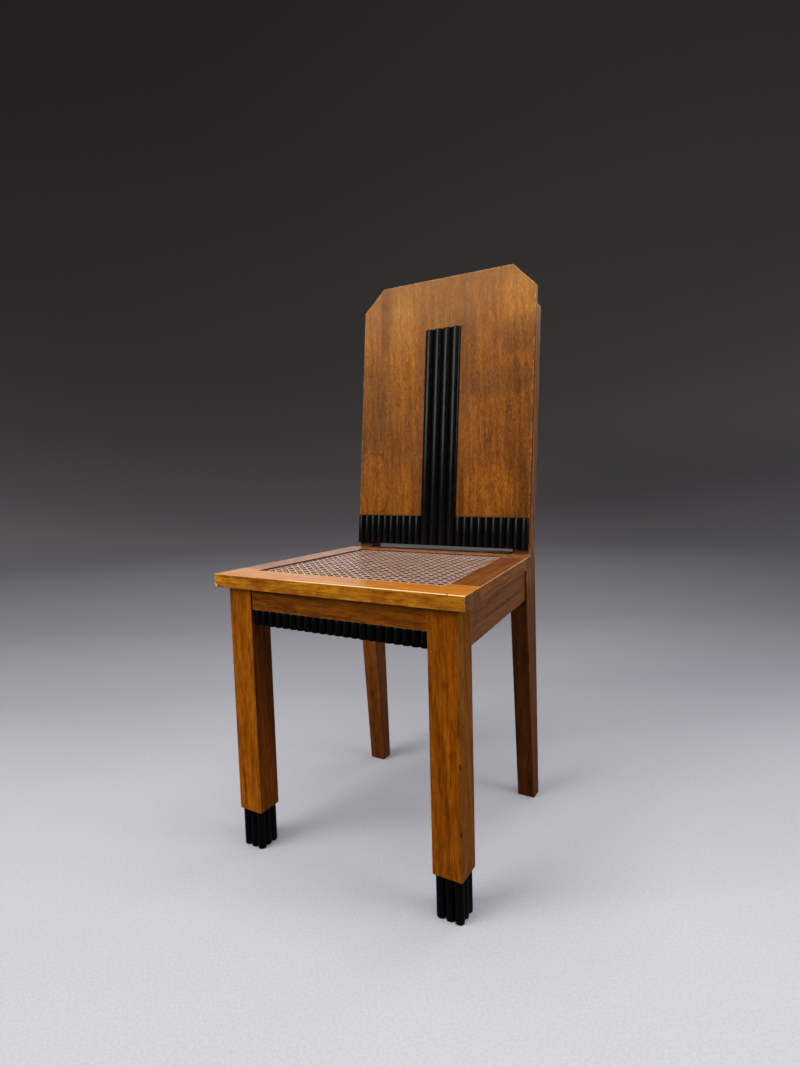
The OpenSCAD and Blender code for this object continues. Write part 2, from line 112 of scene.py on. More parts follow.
def studio_bowl(steps=24, turns=64):
    """A round floor that curves up into a wall on all sides."""
    profile = [(FLAT_REACH + BEND * math.sin(a), BEND - BEND * math.cos(a))
               for a in (math.pi / 2 * i / steps for i in range(steps + 1))]
    profile.append((FLAT_REACH + BEND, WALL_TOP))
    mesh = bmesh.new()
    rings = [[mesh.verts.new((reach * math.cos(t), reach * math.sin(t), height))
              for t in (math.tau * i / turns for i in range(turns))] for reach, height in profile]
    mesh.faces.new(rings[0]).smooth = True
    for ring, above in zip(rings, rings[1:]):
        for i in range(turns):
            j = (i + 1) % turns
            mesh.faces.new((ring[j], ring[i], above[i], above[j])).smooth = True
    data = bpy.data.meshes.new("studio_floor")
    mesh.to_mesh(data)
    mesh.free()
    return bpy.data.objects.new("studio_floor", data)


floor = studio_bowl()
floor.matrix_world = Matrix.Rotation(TURN, 4, "Z")
floor.visible_diffuse = floor.visible_glossy = False
bpy.context.collection.objects.link(floor)
floor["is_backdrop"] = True
print("floor of", len(floor.data.polygons), "faces")

# %% [markdown]
# ## Light
# Small lamps would leave hard spots on the varnish, so the light is soft and comes from large
# panels: one high in front on the left, one above and a weaker one on the right. Two stand
# behind. The low one gives the varnished seat its pale glow, and the high one lights the back of
# the chair. The panels don't show in the picture themselves.

# %% Light
SEAT_CENTRE = (0, 0, 0.45)
WARM, PALE_WARM, COOL = (1.0, 0.96, 0.90), (1.0, 0.98, 0.95), (0.92, 0.96, 1.0)
GLOW_TINT, BACK_TINT = (1.0, 0.90, 0.80), (1.0, 0.97, 0.93)


def soft_panel(name, place, size, power, tint, spread=180):
    """A flat lamp at a place, turned towards the seat. The camera doesn't see it."""
    lamp = bpy.data.lights.new(name, "AREA")
    lamp.shape = "RECTANGLE"
    lamp.size, lamp.size_y = size
    lamp.energy, lamp.color, lamp.spread = power, tint, math.radians(spread)
    holder = bpy.data.objects.new(name, lamp)
    holder.location = place
    holder.rotation_euler = (Vector(SEAT_CENTRE) - Vector(place)).to_track_quat("-Z", "Y").to_euler()
    holder.visible_camera = False
    bpy.context.collection.objects.link(holder)


soft_panel("front_light", (-2.4, -3.9, 2.9), (3.0, 3.0), 158, WARM)
soft_panel("top_light", (0.1, -0.5, 3.2), (2.6, 2.6), 64, PALE_WARM)
soft_panel("right_light", (2.7, 0.2, 1.6), (1.5, 1.5), 30, COOL)
soft_panel("glow_light", (-1.95, 2.5, 1.02), (2.2, 0.7), 0.42, GLOW_TINT, spread=50)
soft_panel("back_light", (1.3, 3.9, 2.8), (2.0, 2.0), 22, BACK_TINT)

ROOM_TINT, ROOM_LIGHT = (0.80, 0.83, 0.88, 1), 0.10
world = bpy.data.worlds.new("studio")
world.use_nodes = True
room = world.node_tree.nodes["Background"]
room.inputs["Color"].default_value = ROOM_TINT
room.inputs["Strength"].default_value = ROOM_LIGHT
bpy.context.scene.world = world
bpy.context.scene.view_settings.view_transform = "Standard"
print("lamps:", [lamp.name for lamp in bpy.data.lights])

# %% [markdown]
# ## Paints
# Every finish here is made of nodes. They could be wired by hand in the shader editor, but a
# script that does it stays readable and gives the same result each time. A small helper adds a
# node and fills in its sockets in one line, so that each recipe below reads from top to bottom:
# where the pattern lies, what it looks like, which colours it takes.

# %% Node helpers
def new_finish(name):
    """A material, its node tree and its shader."""
    made = bpy.data.materials.new(name)
    made.use_nodes = True
    return made, made.node_tree, made.node_tree.nodes["Principled BSDF"]


def put(tree, kind, socket_values, **settings):
    """Adds a node. A socket's value is a number, a colour or another node's output."""
    node = tree.nodes.new("ShaderNode" + kind)
    for key, value in settings.items():
        setattr(node, key, value)
    for key, value in socket_values.items():
        if isinstance(value, bpy.types.NodeSocket):
            tree.links.new(value, node.inputs[key])
        else:
            node.inputs[key].default_value = value
    return node


def parts_of(tree, vector):
    """The X, Y and Z of a vector."""
    return put(tree, "SeparateXYZ", {"Vector": vector}).outputs


def noise(tree, vector, scale, detail=4.0, roughness=0.55, distortion=0.0):
    """A cloudy pattern round 0.5. A larger scale makes it finer."""
    return put(tree, "TexNoise", {
        "Vector": vector, "Scale": scale, "Detail": detail, "Roughness": roughness,
        "Distortion": distortion}).outputs["Fac"]


def fade(tree, value, start, end, low=0.0, high=1.0):
    """A soft step from low to high while the value goes from start to end."""
    return put(tree, "MapRange", {
        "Value": value, "From Min": start, "From Max": end, "To Min": low, "To Max": high},
        interpolation_type="SMOOTHSTEP").outputs["Result"]


print("helpers for nodes: new_finish, put, parts_of, noise, fade")

# %% Sums of values
def work_out(tree, operation, a, b=0.0):
    """One step of arithmetic on the value of each point."""
    return put(tree, "Math", {0: a, 1: b}, operation=operation).outputs["Value"]


def times(tree, a, b):
    """The product of two values."""
    return work_out(tree, "MULTIPLY", a, b)


def plus(tree, a, b):
    """The sum of two values."""
    return work_out(tree, "ADD", a, b)


def raise_surface(tree, shader, height, strength, depth):
    """Makes the light fall as if the surface rose and sank with a pattern."""
    bump = put(tree, "Bump", {"Height": height, "Strength": strength, "Distance": depth})
    tree.links.new(bump.outputs["Normal"], shader.inputs["Normal"])


print("helpers for sums: work_out, times, plus; for relief: raise_surface")

# %% Colours
def linear(code):
    """A colour as it is picked on a screen, made linear for the renderer."""
    parts = [int(code[i : i + 2], 16) / 255 for i in (1, 3, 5)]
    return [c / 12.92 if c <= 0.04045 else ((c + 0.055) / 1.055) ** 2.4 for c in parts] + [1]


def ramp(tree, value, stops):
    """Turns a number into a colour, through (place, colour) pairs."""
    node = put(tree, "ValToRGB", {"Fac": value})
    elements = node.color_ramp.elements
    while len(elements) < len(stops):
        elements.new(0.5)
    for element, (place, colour) in zip(elements, stops):
        element.position, element.color = place, linear(colour) if isinstance(colour, str) else colour
    return node.outputs["Color"]


def mix(tree, factor, a, b, way="MIX"):
    """Goes from colour a to colour b with the factor."""
    return put(tree, "MixRGB", {"Fac": factor, "Color1": a, "Color2": b}, blend_type=way).outputs["Color"]


def tinted(tree, colour, mask, factors, strength=1.0):
    """Multiplies red, green and blue inside a mask."""
    return mix(tree, times(tree, mask, strength), colour, [*factors, 1], "MULTIPLY")


print("a screen's middle grey is", round(linear("#808080")[0], 3), "in linear light")

# %% [markdown]
# ## Patches
# Veneer and old varnish have patches and lines in certain places. They could be painted on an
# image, but a mask that is worked out from the distance to a point needs no image and stays sharp
# at any size. Noise is added to the distance, which frays the edge along the grain.

# %% Patches
WIDE_SHARE, FINE_SHARE = 0.6, 0.4  # of an edge's raggedness


def distance_from(tree, spot, centre, reach):
    """0 at a point of the chair and 1 on an ellipsoid round it. A reach of None ignores that axis."""
    scale = [0.0 if r is None else 1 / r for r in reach]
    moved = [-c * k for c, k in zip(centre, scale)]
    away = put(tree, "Mapping", {"Vector": spot, "Scale": scale, "Location": moved}).outputs["Vector"]
    return put(tree, "VectorMath", {0: away}, operation="LENGTH").outputs["Value"]


def frayed_distance(tree, spot, lay, centre, reach, ragged):
    """The same distance with an edge that is frayed along the grain. It still averages 1 there."""
    away = work_out(tree, "SUBTRACT", distance_from(tree, spot, centre, reach), ragged / 2)
    wide = times(tree, noise(tree, spot, 16.0, detail=2.0), ragged * WIDE_SHARE)
    fine = times(tree, noise(tree, lay, 130.0, detail=3.0, roughness=0.6), ragged * FINE_SHARE)
    return plus(tree, away, plus(tree, wide, fine))


def patch(tree, spot, lay, centre, reach, ragged=0.9, soft=0.7):
    """1 inside a ragged, soft-edged patch and 0 outside it."""
    return fade(tree, frayed_distance(tree, spot, lay, centre, reach, ragged), 1 + soft / 2, 1 - soft / 2)


def edge_line(tree, spot, lay, centre, reach, width=0.05, ragged=0.6):
    """1 on a thin, wavering line round a patch, as where two growths of the wood meet."""
    away = work_out(tree, "SUBTRACT", frayed_distance(tree, spot, lay, centre, reach, ragged), 1.0)
    line = fade(tree, work_out(tree, "ABSOLUTE", away), width, 0.0)
    return times(tree, line, fade(tree, noise(tree, spot, 28.0, detail=2.0), 0.38, 0.55))


print("patch edges fray by", WIDE_SHARE, "in waves and", FINE_SHARE, "in fibres")

# %% [markdown]
# ## Varnished wood
# All the wood is one golden brown timber with a satin varnish, cut so that its grain runs along
# each board. A board's pattern is a noise that is squeezed across the grain and stretched along
# it. Broad bands come from a distorted wave, streaks, fibres, grit and mottling from noises of
# different sizes, and pores are the thin dark ends of one more. Where the grain meets the surface
# head on, the board is darker.

# %% Grain
ALONG_X, ALONG_Y, ALONG_Z = 0, 1, 2
LONG, MEDIUM, SHORT = 0.03, 0.08, 0.4  # a pattern's scale along the grain, as a share
BROAD_SHARE, WAVE_SHARE, FIBROUS_SHARE, MOTTLED_SHARE = 0.15, 0.05, 0.63, 0.17


def shades(mid):
    """A dark, a middle and a pale tone of one wood, from its middle tone."""
    red, green, blue, _ = linear(mid)
    return [(red * 0.36, green * 0.30, blue * 0.25, 1), (red, green, blue, 1),
            (red * 1.55, green * 1.75, blue * 2.2, 1)]


def laid_along(tree, place, grain, share):
    """A place in the wood, scaled so that a pattern there is stretched along the grain."""
    scale = [share if axis == grain else 1.0 for axis in range(3)]
    return put(tree, "Mapping", {"Vector": place, "Scale": scale}).outputs["Vector"]


def grain_figure(tree, lay, short_lay, streaks, streaky, gritty):
    """The wood's light and dark as one number round 0.5."""
    broad = noise(tree, lay, 14.0, detail=3.0, roughness=0.5, distortion=0.8)
    wave = put(tree, "TexWave", {
        "Vector": lay, "Scale": 30.0, "Distortion": 9.0, "Detail": 4.0, "Detail Scale": 1.5,
        "Detail Roughness": 0.6}, bands_direction="DIAGONAL").outputs["Fac"]
    fibre = noise(tree, lay, 420.0, roughness=0.72)
    grit = noise(tree, short_lay, 500.0, roughness=0.75)
    mottle = noise(tree, short_lay, 95.0, roughness=0.65, distortion=0.6)
    figure = times(tree, broad, BROAD_SHARE)
    for part, share in ((wave, WAVE_SHARE), (streaks, streaky), (fibre, FIBROUS_SHARE - streaky - gritty),
                        (grit, gritty), (mottle, MOTTLED_SHARE)):
        figure = plus(tree, figure, times(tree, part, share))
    return figure


print("grain shares add up to", BROAD_SHARE + WAVE_SHARE + FIBROUS_SHARE + MOTTLED_SHARE)

# %% [markdown]
# ## Wear and varnish
# Hands and clothes have worn the edges pale. Every board has an attribute named rim that is 1 at
# its edges and 0 a few millimetres inside them, so the material knows where to wear it. The
# corners themselves, where a face turns, take a fine pale line, which is a painted highlight.
# Varnish over brown wood mirrors the lamps in a warm tone, and the faces that lie flat mirror
# more, because they were rubbed smoother. A layer weight would do this by the angle of view. A coat
# on the lying faces was chosen, because it keeps the upright faces deep in colour.

# %% Wear and varnish
END_GRAIN, WORN_AND_HIGHLIGHT = "#6b432c", "#e0a868"
VARNISH_GLINT = (1.0, 0.62, 0.30, 1)


def end_grain(tree, place, facing, colour, tone):
    """Darkens the faces that cut across the grain. Facing is how far a face looks along it."""
    rings = fade(tree, noise(tree, place, 260.0, roughness=0.6), 0.2, 0.8, 0.6, 0.95)
    return mix(tree, times(tree, fade(tree, facing, 0.55, 0.85), rings), colour, linear(tone))


def worn_and_highlit_edges(tree, spot, facing, colour, wear, arris):
    """Pales rubbed rims, and paints a pale highlight along the corners. Gives the colour, and where the
    varnish is worn.
    """
    rim = put(tree, "Attribute", {}, attribute_name="rim").outputs["Fac"]
    rubbed = fade(tree, noise(tree, spot["Object"], 55.0, roughness=0.65), 0.42, 0.64)
    worn = times(tree, work_out(tree, "POWER", rim, 3.0), rubbed)
    colour = mix(tree, times(tree, worn, wear), colour, linear(WORN_AND_HIGHLIGHT))
    # The pale line on the corners is a painted highlight, where an eased arris catches the lamps.
    flattest = work_out(tree, "MAXIMUM", work_out(tree, "MAXIMUM", facing["X"], facing["Y"]), facing["Z"])
    corners = times(tree, rim, fade(tree, flattest, 0.94, 0.82))
    return mix(tree, times(tree, corners, arris), colour, linear(WORN_AND_HIGHLIGHT)), worn


def varnish(tree, shader, spot, facing, worn, gloss, shine, coat):
    """A satin varnish that is cloudy, duller where it is worn, and thicker on lying faces."""
    cloudy = fade(tree, noise(tree, spot["Object"], 24.0, detail=3.0), 0.3, 0.7, gloss, gloss + 0.1)
    tree.links.new(plus(tree, cloudy, times(tree, worn, 0.15)), shader.inputs["Roughness"])
    shader.inputs["Specular IOR Level"].default_value = shine
    shader.inputs["Specular Tint"].default_value = VARNISH_GLINT
    if coat:
        tree.links.new(fade(tree, facing["Z"], 0.5, 0.9, 0.0, coat), shader.inputs["Coat Weight"])
        shader.inputs["Coat Roughness"].default_value = 0.24


print("worn and highlit edges go from brown to", WORN_AND_HIGHLIGHT)

# %% A whole wood finish
PORE_DEPTH = 0.55


def varnished_wood(name, grain, mid, turn=(0, 0, 0), shift=(0, 0, 0), end_tone=END_GRAIN,
                   wear=0.3, arris=0.3, gloss=0.33, shine=0.25, coat=0.0, contrast=0.10,
                   streaky=0.30, gritty=0.0, marks=None):
    """Wood whose grain runs along one axis of the chair, round a middle tone."""
    made, tree, shader = new_finish(name)
    spot = put(tree, "TexCoord", {}).outputs
    place = put(tree, "Mapping", {
        "Vector": spot["Object"], "Rotation": turn, "Location": shift}).outputs["Vector"]
    long_lay, lay, short_lay = (laid_along(tree, place, grain, share) for share in (LONG, MEDIUM, SHORT))
    streaks = noise(tree, long_lay, 230.0, detail=5.0, roughness=0.7)
    figure = grain_figure(tree, lay, short_lay, streaks, streaky, gritty)
    dark, middle, pale = shades(mid)
    colour = ramp(tree, figure, [(0.5 - contrast, dark), (0.5, middle), (0.5 + contrast, pale)])
    pores = fade(tree, noise(tree, lay, 800.0, detail=2.0, roughness=0.5), 0.58, 0.68)
    colour = mix(tree, times(tree, pores, PORE_DEPTH), colour, dark)

    looks = put(tree, "VectorMath", {0: spot["Normal"]}, operation="ABSOLUTE").outputs["Vector"]
    facing = parts_of(tree, looks)
    colour = end_grain(tree, place, facing["XYZ"[grain]], colour, end_tone)
    colour, worn = worn_and_highlit_edges(tree, spot, facing, colour, wear, arris)
    if marks:
        colour = marks(tree, spot, lay, colour)
    tree.links.new(colour, shader.inputs["Base Color"])
    varnish(tree, shader, spot, facing, worn, gloss, shine, coat)
    raise_surface(tree, shader, work_out(tree, "SUBTRACT", times(tree, streaks, 0.4), pores), 0.2, 0.3 * MM)
    return made


print("pores darken a wood by", PORE_DEPTH)

# %% [markdown]
# ## Marks of age, and painted light and shade
# An old chair isn't evenly brown. Its front rail has golden flames and its legs have small nicks.
# Some marks are painted light and shade: a bright line along the front rail's top corner is a
# painted highlight, and the inner faces, the ledge under the cane and the gap under the back are
# darkened with painted shade. Each mark is a soft mask, made from a place, a height or the way
# that a face looks, and a tint that multiplies the wood's colour inside it, so that the grain still
# shows through.

# %% Masks for the marks
# Tints of painted shade: under the cane, on the rear apron's top, and in the gap behind the seat.
UNDER_CANE_SHADE, APRON_GAP_SHADE, POST_GAP_SHADE = (0.20, 0.12, 0.08), (0.10, 0.07, 0.05), (0.18, 0.12, 0.08)
UNDER_CANE = (0.4690, 0.4680)  # heights on the chair, in metres, between which the painted shade sets in


def mark(tree, spot, centre, reach):
    """1 inside a small ellipsoid, as on a nick or a chip, and 0 outside it."""
    away = distance_from(tree, spot["Object"], centre, reach)
    return fade(tree, plus(tree, away, noise(tree, spot["Object"], 400.0, detail=2.0)), 1.7, 1.2)


def turned_to(tree, spot, axis, way=1):
    """1 on faces that look along an axis of the chair, or against it, and 0 on the others."""
    return fade(tree, parts_of(tree, spot["Normal"])[axis], 0.5 * way, 0.9 * way)


def turned_inwards(tree, spot):
    """1 on faces that look towards the middle of the chair, and 0 on the others."""
    level_spot = put(tree, "Mapping", {"Vector": spot["Object"], "Scale": (1, 1, 0)}).outputs["Vector"]
    outwards = put(tree, "VectorMath", {0: level_spot, 1: spot["Normal"]}, operation="DOT_PRODUCT")
    return fade(tree, outwards.outputs["Value"], -0.02, -0.08)


def shaded_ledge(tree, spot, colour):
    """Painted shade darkens the ledge and the groove that lie under the cane."""
    low = fade(tree, parts_of(tree, spot["Object"])["Z"], *UNDER_CANE)
    return tinted(tree, colour, times(tree, low, turned_to(tree, spot, "Z")), UNDER_CANE_SHADE)


print("painted shade under the cane", UNDER_CANE_SHADE, "and painted gap shade", APRON_GAP_SHADE)

# %% Marks on the seat frame
PALE_FLAMES, DARK_FLAMES = (1.30, 1.42, 1.0), (0.76, 0.64, 0.5)
ORANGE_TINT, ORANGE, ORANGE_SHARE = (1.34, 1.14, 0.85, 1), "#cf8430", 0.45
ARRIS_HIGHLIGHT, BARE_CHIP, NICK = "#ffdca0", "#e6bf98", (0.25, 0.14, 0.08)
RAIL_NICKS = ((0.196, -0.2307, 0.4705), (0.2225, -0.2307, 0.461))
RAIL_NICK_REACH = (0.0018, 0.003, 0.0025)
RAIL_CHIP, RAIL_CHIP_REACH = (-0.221, -0.231, 0.451), (0.006, 0.006, 0.004)


def front_rail_marks(tree, spot, lay, colour):
    """Golden flames, a top face painted brighter and more orange as painted light, and along the top front
    corner a painted highlight line and nicks.
    """
    wide = put(tree, "Mapping", {"Vector": spot["Object"], "Scale": (0.35, 1, 1)}).outputs["Vector"]
    flames = noise(tree, wide, 42.0, detail=3.0, roughness=0.6, distortion=1.2)
    flamed = tinted(tree, colour, fade(tree, flames, 0.50, 0.64), PALE_FLAMES)
    flamed = tinted(tree, flamed, fade(tree, flames, 0.48, 0.36), DARK_FLAMES)
    # Painted light: the top is made brighter and more orange than the front, as it is lit from above.
    orange = mix(tree, 1.0, colour, ORANGE_TINT, "MULTIPLY")
    orange = mix(tree, ORANGE_SHARE, orange, linear(ORANGE))
    colour = shaded_ledge(tree, spot, mix(tree, turned_to(tree, spot, "Z"), flamed, orange))

    # Painted highlight: a bright line along the top front corner, fainter towards the left.
    facing = parts_of(tree, spot["Normal"])
    corner = fade(tree, times(tree, facing["Y"], facing["Z"]), -0.10, -0.32)
    line = times(tree, corner, fade(tree, parts_of(tree, spot["Object"])["X"], -0.10, -0.03, 0.25, 1.0))
    colour = mix(tree, line, colour, linear(ARRIS_HIGHLIGHT))
    for centre in RAIL_NICKS:
        colour = tinted(tree, colour, mark(tree, spot, centre, RAIL_NICK_REACH), NICK, 0.8)
    return mix(tree, mark(tree, spot, RAIL_CHIP, RAIL_CHIP_REACH), colour, linear(BARE_CHIP))


def rail_marks(tree, spot, lay, colour):
    """The frame's inner faces take painted shade, its sides a paler, bluer painted reflection, and the
    right rail is redder on top."""
    on_right = fade(tree, parts_of(tree, spot["Object"])["X"], 0.10, 0.16)
    redder = times(tree, on_right, turned_to(tree, spot, "Z"))
    colour = tinted(tree, colour, redder, (0.80, 0.87, 1.05))
    # Painted reflection: the faces that look to the right are paler and bluer.
    colour = tinted(tree, colour, turned_to(tree, spot, "X"), (1.08, 1.28, 1.6))
    # Painted shade on the inner faces, and under the cane.
    return shaded_ledge(tree, spot, tinted(tree, colour, turned_inwards(tree, spot), (0.16, 0.10, 0.07)))


print(len(RAIL_NICKS), "nicks and a chip on the front rail")

# %% Marks on the legs and aprons
LEG_NICK_HEIGHTS = (0.232, 0.136)
TO_RIGHT, TO_LEFT = (0.0, 0.1), (0.0, -0.1)
# Heights on the chair between which a mark sets in.
BEHIND_SEAT, BELOW_SEAT, NEAR_FLOOR = (0.467, 0.470), (0.43, 0.40), (0.28, 0.04)
GAP_FOOT, GAP_TOP = (0.467, 0.471), (0.490, 0.482)


def leg_marks(tree, spot, lay, colour):
    """Two nicks in the right front leg's outer corner and a paler rubbed place above them. Faces that look
    to the right are painted darker and bluer, as shade with a painted reflection, the inner faces take
    painted shade, and so does the right leg's front."""
    for height in LEG_NICK_HEIGHTS:
        nick = mark(tree, spot, (0.2037, -0.2154, height), (0.0020, 0.0020, 0.005))
        colour = tinted(tree, colour, nick, (0.30, 0.20, 0.12), 0.85)
    rubbed = mark(tree, spot, (0.186, -0.2157, 0.268), (0.008, 0.004, 0.020))
    colour = tinted(tree, colour, rubbed, (1.35, 1.3, 1.2), 0.8)
    # Painted shade and reflection: faces that look to the right are darker and bluer.
    colour = tinted(tree, colour, turned_to(tree, spot, "X"), (0.76, 0.82, 1.2))
    # Painted shade on the right leg's front.
    on_right = fade(tree, parts_of(tree, spot["Object"])["X"], *TO_RIGHT)
    right_front = times(tree, turned_to(tree, spot, "Y", -1), on_right)
    colour = tinted(tree, colour, right_front, (0.84, 0.79, 0.70))
    # Painted shade on the faces turned inwards.
    return tinted(tree, colour, turned_inwards(tree, spot), (0.82, 0.66, 0.30))


def apron_marks(tree, spot, lay, colour):
    """Painted shade darkens the inner faces, and what shows above the seat behind it. A dark line of grain
    crosses the right side apron."""
    crack = patch(tree, spot["Object"], lay, (0.19, 0.0, 0.411), (0.06, 0.11, 0.0016), ragged=0.7)
    colour = tinted(tree, colour, crack, (0.4, 0.3, 0.25), 0.8)
    # Painted shade on the rear apron's top, in the gap under the back.
    above_seat = fade(tree, parts_of(tree, spot["Object"])["Z"], *BEHIND_SEAT)
    colour = tinted(tree, colour, above_seat, APRON_GAP_SHADE)
    # Painted shade on the faces turned inwards, under the seat.
    return tinted(tree, colour, turned_inwards(tree, spot), (0.08, 0.05, 0.04))


def post_marks(tree, spot, lay, colour):
    """Painted shade darkens the rear legs in the narrow gap between the seat and the panel. Below the seat
    they take painted shade, lighter and more golden on the left and deepest in front on the right, and they
    darken towards the floor."""
    where = parts_of(tree, spot["Object"])
    # Painted shade in the gap under the panel.
    gap = times(tree, fade(tree, where["Z"], *GAP_FOOT), fade(tree, where["Z"], *GAP_TOP))
    colour = tinted(tree, colour, times(tree, gap, turned_inwards(tree, spot)), POST_GAP_SHADE)
    # Painted shade below the seat, lighter and more golden on the left and deepest in front on the right.
    low = fade(tree, where["Z"], *BELOW_SEAT)
    colour = tinted(tree, colour, low, (0.76, 0.54, 0.30))
    golden = times(tree, low, fade(tree, where["X"], *TO_LEFT))
    colour = tinted(tree, colour, golden, (1.16, 1.14, 0.70))
    right_front = times(tree, turned_to(tree, spot, "Y", -1), fade(tree, where["X"], *TO_RIGHT))
    colour = tinted(tree, colour, times(tree, low, right_front), (0.55, 0.48, 0.3))
    return tinted(tree, colour, fade(tree, where["Z"], *NEAR_FLOOR), (0.72, 0.66, 0.55))


print(len(LEG_NICK_HEIGHTS), "nicks on the right front leg")

# %% [markdown]
# ## The chair's woods
# The photograph shows the same timber in several tones, because each board was cut from another
# place and has aged by itself. One recipe makes them all, with the grain's direction, the middle
# tone, a shift that gives each its own piece of the pattern, and the marks of that board.

# %% Wood finishes
leg_wood = varnished_wood("leg_wood", ALONG_Z, "#a85b06", wear=0.1, arris=0.15, contrast=0.115,
                          marks=leg_marks)
front_rail_wood = varnished_wood("front_rail_wood", ALONG_X, "#b56d12", shift=(0.3, 0.1, 0.2),
                                 coat=0.38, shine=0.3, marks=front_rail_marks)
apron_wood = varnished_wood("apron_wood", ALONG_X, "#94500a", shift=(0.1, 0.3, 0.6), marks=apron_marks)
side_apron_wood = varnished_wood("side_apron_wood", ALONG_Y, "#8e5226", shift=(0.4, 0.5, 0.3),
                                 shine=0.45, contrast=0.16, marks=apron_marks)
side_wood = varnished_wood("side_wood", ALONG_Y, "#8f4c1b", shift=(0.1, 0.5, 0.3), coat=0.35,
                           shine=0.4, arris=0.7, contrast=0.13, marks=rail_marks)
rear_wood = varnished_wood("rear_wood", ALONG_X, "#8e4c1b", shift=(0.7, 0.2, 0.6), coat=0.4,
                           shine=0.4, marks=rail_marks)
post_wood = varnished_wood("post_wood", ALONG_Z, "#8e5832", shift=(0.4, 0.8, 0.1), shine=0.55,
                           marks=post_marks)
print("wood finishes:", [m.name for m in bpy.data.materials])

# %% [markdown]
# ## Boards
# Nearly all of the chair is flat boards. A scaled cube would be quicker to make, but it can
# neither taper nor lean. So each board is drawn as an outline and raised to its thickness. The
# outline is drawn in its own plane, and a matrix lays it flat, on its side or on the leaning back.

# %% Sizes of the seat, from the frame
front_rail_low, front_rail_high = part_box("seat_front_rail")
rear_rail_low, rear_rail_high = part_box("seat_rear_rail")
spline_low, spline_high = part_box("cane_spline")
SEAT_TOP, FRAME_BOTTOM = front_rail_high.z, front_rail_low.z
SEAT_FRONT, SEAT_REAR = front_rail_low.y, rear_rail_high.y
OPENING_FRONT, OPENING_REAR = spline_low.y, spline_high.y
TAPER = (front_rail_high.x - rear_rail_high.x) / (rear_rail_low.y - SEAT_FRONT)


def seat_half(y, inward=0.0):
    """Half the seat's width at a depth, drawn in from its tapering side."""
    return front_rail_high.x - TAPER * (y - SEAT_FRONT) - inward * math.hypot(1, TAPER)


SIDE_BORDER = (seat_half(OPENING_FRONT) - spline_high.x) / math.hypot(1, TAPER)
print("wood beside the cane:", round(SIDE_BORDER / MM, 1), "mm")

# %% Sizes of the back
RAKE = math.radians(6.5)
sine, cosine = math.sin(RAKE), math.cos(RAKE)
PANEL_T = 12 * MM
panel_low, panel_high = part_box("back_panel")
BACK_FOOT = Vector((0, panel_low.y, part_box("back_reeding_centre")[0].z))
PANEL_L = (panel_high.z - BACK_FOOT.z) / cosine
print("panel", round(PANEL_L / MM, 1), "mm long")

# %% Planes to draw outlines in
LYING = Matrix.Identity(4)  # across and into the depth, raised upwards
# Into the depth and upwards, raised across.
ON_SIDE = Matrix(((0, 0, 1, 0), (1, 0, 0, 0), (0, 1, 0, 0), (0, 0, 0, 1)))
# Across and up along the leaning face, raised into its thickness.
ON_BACK = Matrix((
    (1, 0, 0, 0), (0, sine, cosine, BACK_FOOT.y), (0, cosine, -sine, BACK_FOOT.z), (0, 0, 0, 1)))
HANDS = ((-1, "left"), (1, "right"))


def mirrored(side):
    """Turns a plane over to the chair's left for -1, and keeps it for 1."""
    return Matrix.Diagonal((side, 1, 1, 1))


print("the back leans by", round(math.degrees(RAKE), 1), "degrees")

# %% Outlines into solids
def wrap(mesh, rings, smooth=False):
    """Joins rings of points, each to the next one, with a band of four-sided faces."""
    for ring, following in zip(rings, rings[1:]):
        for i in range(len(ring)):
            j = (i + 1) % len(ring)
            mesh.faces.new((ring[i], ring[j], following[j], following[i])).smooth = smooth


def prism(outline, low, high, place):
    """A mesh of an outline, raised from low to high."""
    mesh = bmesh.new()
    rings = [[mesh.verts.new(place @ Vector((a, b, c))) for a, b in outline] for c in (low, high)]
    wrap(mesh, rings)
    mesh.faces.new(rings[1])
    mesh.faces.new(rings[0][::-1])
    bmesh.ops.recalc_face_normals(mesh, faces=mesh.faces)
    return mesh


def rectangle(left, bottom, right_end, top):
    """The outline of a square-cut board."""
    return [(left, bottom), (right_end, bottom), (right_end, top), (left, top)]


def as_object(name, mesh):
    """Puts a finished mesh into the scene."""
    data = bpy.data.meshes.new(name)
    mesh.to_mesh(data)
    mesh.free()
    made = bpy.data.objects.new(name, data)
    bpy.context.collection.objects.link(made)
    return made


trial = prism(rectangle(0, 0, 1, 1), 0, 1, LYING)
print("a rectangle raised has", len(trial.faces), "faces")
trial.free()

# %% [markdown]
# ## Eased edges
# No sawn edge on a real chair is perfectly sharp, and the eased edge is what catches the light. A
# material can fake a rounding, but the outline would stay sharp. A bevel modifier rounds the mesh
# itself. Its edges carry a weight each, so that joints between two boards are eased much less
# than open edges. Then an inset gives each broad face a narrow border. Its outer points carry the
# rim attribute, which the wood finish reads.

# %% Modifiers made final
def settle(obj):
    """Applies an object's modifiers."""
    result = bpy.data.meshes.new_from_object(obj.evaluated_get(bpy.context.evaluated_depsgraph_get()))
    obj.modifiers.clear()
    obj.data = result


def cut_away(obj, cutter_mesh):
    """Takes a cutter's shape out of an object."""
    cutter = as_object("cutter", cutter_mesh)
    cut = obj.modifiers.new("cut", "BOOLEAN")
    cut.operation, cut.solver, cut.object = "DIFFERENCE", "EXACT", cutter
    settle(obj)
    bpy.data.objects.remove(cutter)


print("helpers for modifiers: settle, cut_away")

# %% Rounded edges
SHARP, SAME_PLANE = math.radians(25), math.radians(1)
TIGHT_SHARE, EASE_STEPS = 0.3, 3
PLAIN_FACE, ROUNDED_FACE = 0, 1


